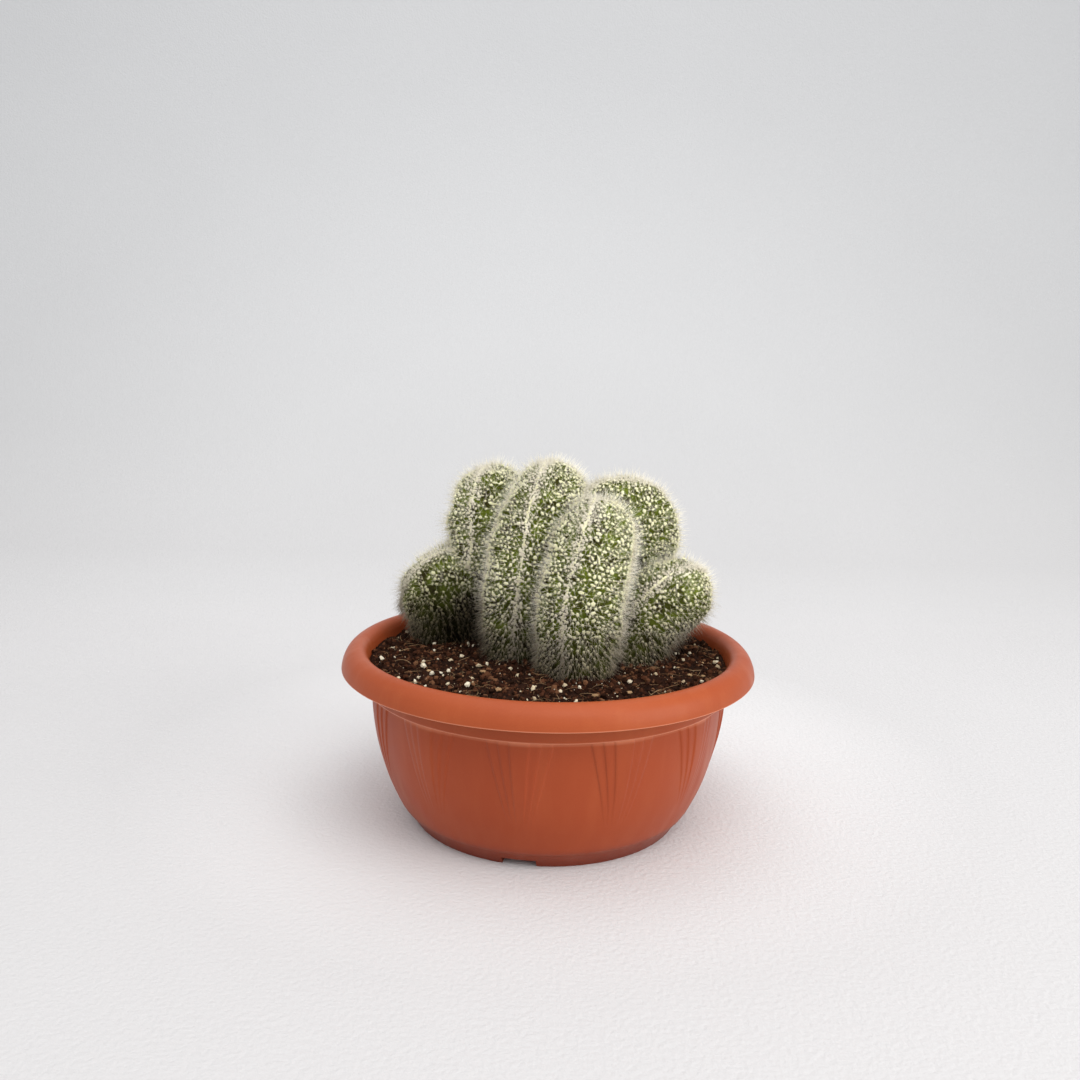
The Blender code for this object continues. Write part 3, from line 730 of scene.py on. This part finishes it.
def fleshShell(name, rows):
    # a ring of points to each step along the crest, round the arc and down both flanks to a flat root
    foldLine = foldFrame(rows, plant["ribStep"] / plant["ribSamples"])
    count = len(foldLine["crest"])
    half = int(round(foldLine["reach"].mean() / plant["aroundStep"]))
    share = np.concatenate([np.arange(half + 1), np.arange(half, 0, -1)]) / half
    side = np.concatenate([np.ones(half + 1), -np.ones(half)])
    leans = [0.0] * count + [math.radians(angle) for angle in plant["endDegrees"] if name in openEnds]
    steps = np.minimum(np.arange(len(leans)), count - 1)
    k = np.repeat(steps, len(share))
    along = np.tile(share, len(steps)) * foldLine["reach"][k]
    points, _ = foldPoints(foldLine, k, np.tile(side, len(steps)), along, np.repeat(leans, len(share)))
    rings = points.reshape(len(steps), -1, 3)
    return outward(addShell("fold" + name, rings, [rings[0].mean(0), rings[-1].mean(0)]))


def heartShell(middle, sizes):
    # stacked ellipses
    turn = evenTurns(plant["heartColumns"])
    rings = [np.stack([middle[0] + across * np.cos(turn), middle[1] + deep * np.sin(turn),
                       np.full(len(turn), float(height))], 1) for height, across, deep in sizes]
    return outward(addShell("heart", np.stack(rings), [[*middle, sizes[k][0]] for k in (0, -1)]))


def belowCutter():
    size = plant["cutterSize"]
    place = Matrix.Translation((0, 0, (plant["buriedBottom"] - size[2] / 2) * mm))
    return withMesh("below", bmesh.ops.create_cube, size=1,
                    matrix=place @ Matrix.Diagonal((*Vector(size) * mm, 1)))


def depthOutside(points, skip=None):
    # how far each point is outside all folds' slabs but one, negative inside them
    best = np.full(len(points), 100.0)
    for name, rows in folds.items():
        if name == skip:
            continue
        line = foldFrame(rows, 4)
        for start, end in zip(line["crest"], line["root"]):
            axis = end[:3] - start[:3]
            share = np.clip(((points - start[:3]) @ axis) / (axis @ axis), 0, 1)
            gap = np.linalg.norm(points - start[:3] - share[:, None] * axis, axis=1)
            best = np.minimum(best, gap - start[3] - share * (end[3] - start[3]))
    return best


def makeFlesh():
    obj, *rest = [fleshShell(*fold) for fold in folds.items()] + [heartShell(*heart) for heart in hearts]
    boolean(obj, rest, "UNION")
    boolean(obj, [belowCutter()], "DIFFERENCE")
    obj.name = obj.data.name = "flesh"
    obj.data.shade_smooth()
    return obj


paintedHollowShades = (
    # painted shade: the dark hollows under the left and the right lobe, and the shaded face of the left one,
    # darkened by these tints
    {"place": (-37, 11, 87), "radius": (12, 36), "tint": (0.3, 0.27, 0.24)},
    {"place": (68, 4, 76), "radius": (9, 24), "tint": (0.3, 0.27, 0.24)},
    {"place": (-62, -6, 97), "radius": (10, 34), "tint": (0.56, 0.56, 0.47)},
)


def lowAgeingAndPaintedShade(finish, colour, tint):
    # darker and browner low down near the compost, partly as ageing and soil on the old parts and partly as
    # painted shade, and painted shade in the hollows under the lobes
    colour = finish.times(colour, tint, finish.low(0.080, 0.118))
    for hollowShade in paintedHollowShades:
        colour = finish.times(colour, hollowShade["tint"], finish.near(hollowShade["place"], hollowShade["radius"]))
    return colour


def fleshSkin():
    finish = Finish("green flesh", 0.7, 0.08)
    mask, height = finish.mottled(170.0, 900.0, 0.3)
    base = finish.ramp(mask, [(0.38, (0.030, 0.024, 0.004)), (0.5, (0.080, 0.098, 0.010)),
                              (0.68, (0.17, 0.22, 0.024))])
    finish.give("Base Color", lowAgeingAndPaintedShade(finish, base, (0.25, 0.20, 0.15)))
    finish.bump(height, 0.0002, 0.5)
    return finish.material


flesh = dress(makeFlesh(), fleshSkin(), "cactus")
print("flesh made,", len(flesh.data.polygons), "faces")


# Areoles and spines

areoles = {
    "closest": (1.05, 1.75),  # young and grown places nearer to each other than this are thinned out
    "showAbove": 77.0,  # height, and distance from the other folds, over which a place is used
    "clear": 0.2,
    "crestShare": 0.9,  # none nearer to the crest than this share of the growing edge's half width
    "rootClear": 1,
    "grown": (-1, 6),  # distance past the growing edge from young to full age
    "jitter": 0.38,
    "width": 0.6,
    "length": 0.9,
    "sides": 5,
    "heights": (0.06, 0.42, 0.6),  # of the two rings and the top
    "rings": (1, 0.72),
    "sunk": 0.7,
    "rough": 0.06,
    "sizes": (0.55, 1.3),
    "lowSize": (0.7, 80, 108),  # share of the size up to a height, and the height of the full size
    "stretch": 0.27,
    "bend": 0.75,
}
needle = {
    "turnJitter": 0.22,
    "outset": 0.15,  # of the root from the areole's middle, and how deep it is sunk
    "sunk": 0.3,
    "droop": (0.7, 84, 118),  # how far spines bend down up to a height, and the height where none does
    "highest": 177.2,  # no tip is above this
}
spineSets = (
    # how many to an areole, lean from the surface's direction in degrees, lengths, radius at the root
    {"count": 3, "lean": (50, 80), "length": (1.2, 2.4), "radius": 0.12},
    {"count": 3, "lean": (10, 62), "length": (2.8, 5.2), "radius": 0.085},
    {"count": 2, "lean": (2, 38), "length": (4.8, 8.6), "radius": 0.09},
)
youngSpines = (
    {"count": 4, "lean": (4, 50), "length": (1.8, 4.2), "radius": 0.08},
    {"count": 1, "lean": (2, 30), "length": (3.5, 6.2), "radius": 0.09},
)


def areolePlaces(name, rows, rng):
    # one place to each step down each rib on both flanks, half a step later on every second rib
    foldLine = foldFrame(rows, plant["ribStep"] / plant["ribSamples"])
    crest, width = foldLine["crest"], foldLine["width"]
    steps = [(k, 0.0, number) for number, k in enumerate(range(0, len(crest), plant["ribSamples"]))]
    if name in openEnds:
        turn = plant["ribStep"] / crest[-1, 3]
        steps += [(len(crest) - 1, ring * turn, ring) for ring in range(1, int(math.pi / 2 / turn) + 1)]
    places = []
    for k, lean, number in steps:
        distance = np.linspace(0, foldLine["reach"][k] - areoles["rootClear"], 400)
        counted = areoleNumber(distance, width[k])
        along = np.interp(np.arange(0.5 * (number % 2), counted[-1]), counted, distance)
        along = along[along > width[k] * areoles["crestShare"]]
        places += [np.stack(np.broadcast_arrays(k, side, along, lean), 1) for side in (1.0, -1.0)]
    k, side, along, lean = np.vstack(places).T
    k = k.astype(int)
    points, out = foldPoints(foldLine, k, side, along, lean)
    across, down = frameOf(out, foldLine["tangent"][k])
    shift = rng.normal(0, areoles["jitter"], (len(points), 2))
    age = smoothStep(*areoles["grown"], along - width[k])
    return points + shift[:, :1] * across + shift[:, 1:] * down, out, foldLine["tangent"][k], age


def crestPoints(foldLine, k, along, lean):
    # on both sides of the crest, a little above the swellings
    points, out = foldPoints(foldLine, k, np.sign(along), np.abs(along), lean, raised=False)
    return points + (growth["above"] + swelling(points)[:, None]) * out, out


def growthPlaces(name, rows, rng):
    # rows of young tufts along the crest, as many side by side as the growing edge is wide there
    foldLine = foldFrame(rows, growth["step"])
    count = len(foldLine["crest"])
    most = int(growth["halfWidth"][1] / growth["step"]) + 1
    rowsAcross = np.arange(-most, most + 1) * growth["step"]
    steps = [(k, 0.0) for k in range(count)]
    if name in openEnds:
        turn = growth["step"] / foldLine["crest"][-1, 3]
        steps += [(count - 1, lean) for lean in np.arange(turn, growth["lastTurn"], turn)]
    places = []
    for number, (k, lean) in enumerate(steps):
        along = rowsAcross + 0.5 * growth["step"] * (number % 2)
        along = along[np.abs(along) < foldLine["width"][k]]
        places.append(np.stack(np.broadcast_arrays(k, along, lean), 1))
    k, along, lean = np.vstack(places).T
    k = k.astype(int)
    along = along + rng.normal(0, growth["jitter"], len(along))
    points, out = crestPoints(foldLine, k, along, lean)
    points = points + rng.normal(0, growth["jitter"], (len(points), 1)) * foldLine["tangent"][k]
    return points, out, foldLine["tangent"][k], np.zeros(len(points))


def cordPlaces(name, rows, rng):
    # a close row of tufts in the middle of the growing edge
    foldLine = foldFrame(rows, growth["cordStep"])
    k = np.arange(len(foldLine["crest"]))
    points, out = crestPoints(foldLine, k, rng.normal(0, growth["jitter"], len(k)), np.zeros(len(k)))
    return points, out, foldLine["tangent"], np.full(len(points), growth["cordAge"])


def thinned(points, closest):
    # keeps a point if no kept one before it is nearer than its closest, with a grid of cells
    cells = {}
    keep = np.zeros(len(points), bool)
    size = closest.max()
    for number, point in enumerate(points):
        cell = tuple((point // size).astype(int))
        near = [other for dx in (-1, 0, 1) for dy in (-1, 0, 1) for dz in (-1, 0, 1)
                for other in cells.get((cell[0] + dx, cell[1] + dy, cell[2] + dz), ())]
        if all(np.sum((points[other] - point) ** 2) > closest[number] ** 2 for other in near):
            cells.setdefault(cell, []).append(number)
            keep[number] = True
    return keep


def frameOf(out, tangent):
    # two directions across each outward direction: along the crest and down the flank
    across = unit(tangent - (tangent * out).sum(1, keepdims=True) * out)
    return across, np.cross(out, across)


def tuftArrays(points, out, tangent, age, rng):
    # a five-sided bead: two rings and a blunt top, and a bottom point sunk into the flesh, longer in one
    # direction, which is between down the flank and across it
    across, down = frameOf(out, tangent)
    size = rng.uniform(*areoles["sizes"], len(points)) * (growth["size"] + (1 - growth["size"]) * age)
    least, *between = areoles["lowSize"]
    size = size * (least + (1 - least) * smoothStep(*between, points[:, 2]))
    sides = areoles["sides"]
    turn = evenTurns(sides) + rng.uniform(0, 6, (len(points), 1))
    stretch = np.exp(rng.normal(0, areoles["stretch"], (2, len(points), 1, 1)))
    bend = rng.normal(0, areoles["bend"], len(points))
    short, long = turned(bend, across, -down), turned(bend, down, across)
    ring = turned(turn, short[:, None] * areoles["width"] * stretch[0],
                  long[:, None] * areoles["length"] * stretch[1])
    rings = [share * ring + height * out[:, None]
             for share, height in zip(areoles["rings"], areoles["heights"])]
    ends = [height * out[:, None] for height in (areoles["heights"][2], -areoles["sunk"])]
    corners = np.concatenate([*rings, *ends], axis=1) * size[:, None, None]
    corners = points[:, None] + corners + rng.normal(0, areoles["rough"], corners.shape)
    k = np.arange(sides)
    ahead, top = (k + 1) % sides, np.full(sides, 2 * sides)
    pattern = np.vstack([np.stack(corner, 1) for corner in (
        (k, ahead, ahead + sides), (k, ahead + sides, k + sides), (k + sides, ahead + sides, top),
        (ahead, k, top + 1))])
    count = 2 * sides + 2
    return corners.reshape(-1, 3), repeated(pattern, count, len(points)), np.repeat(age, count)


def spineArrays(points, out, tangent, age, rng, sets):
    # three-sided pointed needles: root = areole, tip = root + length * leant direction
    across, down = frameOf(out, tangent)
    most, *between = needle["droop"]
    low = most * (1 - smoothStep(*between, points[:, 2]))
    made = []
    for kind in sets:
        shape = (len(points), kind["count"])
        turn = (evenTurns(kind["count"]) + rng.uniform(0, 2 * math.pi, (len(points), 1))
                + rng.normal(0, needle["turnJitter"], shape))
        lean = np.radians(rng.uniform(*kind["lean"], shape))
        length = rng.uniform(*kind["length"], shape)
        flat = turned(turn, across[:, None], down[:, None])
        way = unit(turned(lean, out[:, None], flat) - low[:, None, None] * np.array([0, 0, 1.0]))
        root = points[:, None] + needle["outset"] * flat - needle["sunk"] * way
        length = np.minimum(length, (needle["highest"] - root[..., 2]) / np.maximum(way[..., 2], 0.001))
        made.append((root.reshape(-1, 3), (root + length[..., None] * way).reshape(-1, 3),
                     np.full(length.size, kind["radius"]), np.repeat(age, kind["count"])))
    root, tip, radius, age = (np.concatenate(column) for column in zip(*made))
    way = unit(tip - root)
    side = unit(np.cross(way, rng.normal(size=way.shape)))
    ring = turned(evenTurns(3), side[:, None], np.cross(way, side)[:, None])
    corners = np.concatenate([root[:, None] + radius[:, None, None] * ring, tip[:, None]], axis=1)
    faces = repeated(np.array([(0, 1, 3), (1, 2, 3), (2, 0, 3), (2, 1, 0)]), 4, len(root))
    tone = np.repeat(rng.uniform(0, 1, len(root)), 4)
    return corners.reshape(-1, 3), faces, np.repeat(age, 4), tone, np.tile([0, 0, 0, 1.0], len(root))


def woolFinish():
    finish = Finish("cream wool", 0.9, 0.15)
    mask, height = finish.mottled(260.0, 2400.0, 0.5)
    old = finish.ramp(mask, [(0.3, (0.80, 0.78, 0.44)), (0.6, (0.97, 0.95, 0.68))])
    young = finish.ramp(mask, [(0.3, (0.75, 0.69, 0.55)), (0.7, (0.88, 0.83, 0.71))])
    colour = finish.mixed(finish.attribute("age"), young, old)
    finish.give("Base Color", lowAgeingAndPaintedShade(finish, colour, (0.27, 0.23, 0.20)))
    finish.bump(height, 0.0002, 0.8)
    return finish.material


def spineFinish():
    finish = Finish("white spines", 0.6, 0.12)
    tone = finish.ramp(finish.attribute("tone"), [(0, (0.86, 0.76, 0.52)), (0.5, (0.95, 0.88, 0.68)),
                                                  (1, (0.98, 0.95, 0.82))])
    tipward = finish.attribute("tipward")
    old = finish.mixed(tipward, tone, (0.98, 0.94, 0.82))
    # darker towards the root: partly the spines' own colour and partly painted shade close to the flesh
    old = finish.times(old, (0.45, 0.40, 0.25), finish.mapped(tipward, 0.02, 0.3, 1.0, 0.0))
    colour = finish.mixed(finish.attribute("age"), (0.83, 0.78, 0.66), old)
    finish.give("Base Color", lowAgeingAndPaintedShade(finish, colour, (0.32, 0.28, 0.24)))
    return finish.material


def visible(name, points, *rest):
    # what stands above the compost and outside the other folds
    shows = (points[:, 2] > areoles["showAbove"]) & (depthOutside(points, skip=name) > areoles["clear"])
    return [values[shows] for values in (points, *rest)]


def joined(groups):
    # several sets of arrays as one, with the point numbers of the faces moved on
    start = np.cumsum([0] + [len(group[0]) for group in groups[:-1]])
    faces = np.vstack([group[1] + first for group, first in zip(groups, start)])
    rest = [np.concatenate(column) for column in zip(*(group[2:] for group in groups))]
    return [np.vstack([group[0] for group in groups]), faces, *rest]


def makeSpines():
    wool, needles = woolFinish(), spineFinish()
    rng = np.random.default_rng(3)
    total = 0
    for name, rows in folds.items():
        old = visible(name, *areolePlaces(name, rows, rng))
        near, far = areoles["closest"]
        keep = thinned(old[0], near + (far - near) * old[3])
        old = [values[keep] for values in old]
        young = visible(name, *growthPlaces(name, rows, rng))
        cord = visible(name, *cordPlaces(name, rows, rng))
        tufts = joined([tuftArrays(*places, rng) for places in (old, young, cord)])
        spines = joined([spineArrays(*old, rng, spineSets), spineArrays(*young, rng, youngSpines)])
        for label, material, marks, (corners, faces, *values) in (
                ("wool-", wool, ("age",), tufts), ("spines-", needles, ("age", "tone", "tipward"), spines)):
            dress(addObject(label + name, corners, faces, dict(zip(marks, values))), material, "cactus")
            total += len(faces)
        print("  ", name, len(old[0]), "areoles,", len(young[0]), "young,", len(faces), "triangles of spines")
    print("areoles and spines made,", total, "triangles")


makeSpines()


# Compost

soil = {
    "level": 77.5,
    "mound": 2.2,
    "moundRadius": 80,
    "lumps": ((0.4, 16, 21), (0.35, 6, 22), (0.25, 2.6, 23)),  # half height, pitch and seed
    "firstRing": 0.9,
    "edgeRadius": 86.4,
    "rings": 84,
    "columns": 280,
    "bottom": [(84.3, 64), (80.5, 44), (76, 27), (71, 14), (61, 7.2)],
}
# What lies on it. A higher power makes more of them small. Lift is the height of the middle as a share of
# the size, reach the distance from the bowl's axis and clear the least distance from the folds.
crumbs = {"count": 6200, "radius": (0.35, 2.0), "power": 2.9, "shapes": 8, "rough": 0.3, "flat": 1,
          "lift": 0.05, "reach": 86, "clear": -0.5}
grains = {"count": 400, "radius": (0.25, 2.0), "power": 4.6, "shapes": 8, "rough": 0.34, "flat": 1,
          "lift": 0.35, "reach": 84, "clear": 0.8}
chips = {"count": 24, "radius": (1.2, 2.4), "power": 1.2, "shapes": 4, "rough": 0.2, "flat": 0.4,
         "lift": 0.3, "reach": 82, "clear": 1.0}
fibres = {"count": 240, "length": (3, 11), "radius": (0.06, 0.14), "segments": 6, "bow": 0.18, "rise": 0.1,
          "slope": 0.12, "lift": 0.5, "reach": 83, "clear": 0.5}


def soilHeight(x, y):
    # a low mound and three sizes of lumps
    flat = np.stack([x, y, np.zeros_like(x)], 1)
    mound = soil["mound"] * np.maximum(0, 1 - (x * x + y * y) / soil["moundRadius"] ** 2)
    lumps = sum(half * waveField(flat, pitch, seed) for half, pitch, seed in soil["lumps"])
    return soil["level"] + mound + lumps


def makeSoilBody():
    # rings of the top from the middle outwards, then down the bowl's inside to its floor
    turn = evenTurns(soil["columns"])
    x, y = polar(np.linspace(soil["firstRing"], soil["edgeRadius"], soil["rings"])[:, None], turn)
    z = soilHeight(x.ravel(), y.ravel()).reshape(x.shape)
    lower = [np.stack([*polar(r, turn), np.full(len(turn), float(h))], 1) for r, h in soil["bottom"]]
    poles = [[0, 0, z[0].mean()], [0, 0, soil["bottom"][-1][1]]]
    return outward(addShell("compost", np.concatenate([np.stack([x, y, z], 2), lower]), poles))


def stoneShape(rng, rough):
    # a small icosphere with its points moved in and out
    bm = bmesh.new()
    bmesh.ops.create_icosphere(bm, subdivisions=1, radius=1)
    points = np.array([vert.co for vert in bm.verts])
    faces = np.array([[vert.index for vert in face.verts] for face in bm.faces])
    bm.free()
    return points * rng.uniform(1 - rough, 1 + rough, (len(points), 1)), faces


def randomTurns(rng, count):
    # rotation matrices from random unit quaternions w, a: 1 + 2 w K + 2 K K, where K is the cross product
    # with a
    w, *axis = unit(rng.normal(size=(count, 4))).T
    cross = np.cross(np.eye(3), np.stack(axis, 1)[:, None])
    return np.eye(3) + 2 * w[:, None, None] * cross + 2 * cross @ cross


def soilPlaces(rng, kind):
    # random places on the compost outside the plant
    places = np.zeros((0, 2))
    while len(places) < kind["count"]:
        turn, distance = rng.uniform(0, 2 * math.pi, 4000), kind["reach"] * np.sqrt(rng.uniform(0, 1, 4000))
        spots = np.stack(polar(distance, turn), 1)
        level = np.column_stack([spots, np.full(len(spots), soil["level"] + 1.0)])
        places = np.vstack([places, spots[depthOutside(level) > kind["clear"]]])
    return places[:kind["count"]]


def scatter(name, rng, kind):
    # copies of a few rough shapes, each turned, scaled and laid on the compost
    count, every = kind["count"], kind["shapes"]
    x, y = soilPlaces(rng, kind).T
    low, high = kind["radius"]
    size = low + (high - low) * rng.uniform(0, 1, count) ** kind["power"]
    scale = size[:, None] * rng.uniform(0.6, 1.0, (count, 3)) * np.array([1, 1, kind["flat"]])
    turns = randomTurns(rng, count)
    if kind["flat"] < 1:
        # these lie flat, turned about the vertical only
        angle = rng.uniform(0, 2 * math.pi, count)
        cos, sin, zero = np.cos(angle), np.sin(angle), np.zeros(count)
        turns = np.stack([cos, -sin, zero, sin, cos, zero, zero, zero, zero + 1], 1).reshape(-1, 3, 3)
    centre = np.column_stack([x, y, soilHeight(x, y) + kind["lift"] * size])
    shapes = [stoneShape(rng, kind["rough"]) for _ in range(every)]
    made = [np.einsum("nij,nkj->nki", turns[k::every], shape * scale[k::every, None]) + centre[k::every, None]
            for k, (shape, _) in enumerate(shapes)]
    shape, pattern = shapes[0]
    tone = np.repeat(rng.uniform(0, 1, count), len(shape))
    return addObject(name, np.concatenate(made).reshape(-1, 3), repeated(pattern, len(shape), count),
                     {"tone": tone}, smooth=False)


def makeFibres(rng):
    # three-sided tubes along shallow arcs: straight way plus a sideways and an upward bow
    count, segments = fibres["count"], fibres["segments"]
    x, y = soilPlaces(rng, fibres).T
    centre = np.column_stack([x, y, soilHeight(x, y) + fibres["lift"]])
    angle = rng.uniform(0, 2 * math.pi, count)
    way = np.stack([np.cos(angle), np.sin(angle), rng.normal(0, fibres["slope"], count)], 1)
    side = np.stack([-np.sin(angle), np.cos(angle), np.zeros(count)], 1)
    up = np.array([0, 0, 1.0])
    length = rng.uniform(*fibres["length"], count)[:, None]
    t = np.linspace(-0.5, 0.5, segments)
    bow = rng.normal(0, fibres["bow"], (count, 1)) * length * (1 - 4 * t**2)
    rise = rng.uniform(0, fibres["rise"], (count, 1)) * length * (1 - 4 * t**2)
    path = (centre[:, None] + (t * length)[..., None] * way[:, None] + bow[..., None] * side[:, None]
            + rise[..., None] * up)
    radius = rng.uniform(*fibres["radius"], (count, 1, 1, 1)) * (1 - 0.5 * np.abs(t))[None, :, None, None]
    points = path[:, :, None] + radius * turned(evenTurns(3), side[:, None, None], up)
    j, k = (grid.ravel() for grid in np.meshgrid(3 * np.arange(segments - 1), np.arange(3), indexing="ij"))
    ahead = (k + 1) % 3
    quads = np.stack([j + k, j + ahead, j + 3 + ahead, j + 3 + k], 1)
    ends = np.array([(2, 1, 0), (3 * segments - 3, 3 * segments - 2, 3 * segments - 1)])
    faces = [repeated(pattern, 3 * segments, count) for pattern in (quads, ends)]
    tone = np.repeat(rng.uniform(0, 1, count), 3 * segments)
    return outward(addObject("fibres", points.reshape(-1, 3), faces, {"tone": tone}))


def soilFinish(name, stops, roughness, grain, depth, byTone=True):
    finish = Finish(name, roughness, 0.06)
    mask, height = finish.mottled(140.0, grain, 0.5)
    base = finish.ramp(finish.attribute("tone") if byTone else mask, stops)
    settled = finish.add("Group", {"Vector": finish.place, "Scale": 500.0, "Amount": 0.08}, node_tree=dust)
    finish.give("Base Color", finish.mixed(settled.outputs["Mask"], base, (0.16, 0.09, 0.055)))
    finish.bump(height, depth, 0.8)
    return finish.material


def makeSoil():
    rng = np.random.default_rng(8)
    peat = [(0, (0.010, 0.004, 0.002)), (0.45, (0.030, 0.010, 0.005)), (0.8, (0.075, 0.027, 0.013)),
            (1, (0.18, 0.085, 0.042))]
    ground = [(0.4, (0.008, 0.003, 0.002)), (0.65, (0.03, 0.011, 0.006))]
    white = [(0, (0.42, 0.31, 0.19)), (0.4, (0.60, 0.50, 0.34)), (1, (0.78, 0.71, 0.56))]
    tan = [(0, (0.25, 0.14, 0.07)), (1, (0.42, 0.28, 0.15))]
    dress(makeSoilBody(), soilFinish("compost ground", ground, 0.95, 900.0, 0.0008, byTone=False), "soil")
    for name, kind, *look in (("crumbs", crumbs, "compost crumbs", peat, 0.95, 1800.0, 0.0004),
                              ("grains", grains, "white grains", white, 0.9, 1600.0, 0.0003),
                              ("chips", chips, "bark chips", tan, 0.85, 1200.0, 0.0003)):
        dress(scatter(name, rng, kind), soilFinish(*look), "soil")
    dress(makeFibres(rng), soilFinish("root fibres", tan, 0.8, 1200.0, 0.0002), "soil")
    print("compost made")


makeSoil()
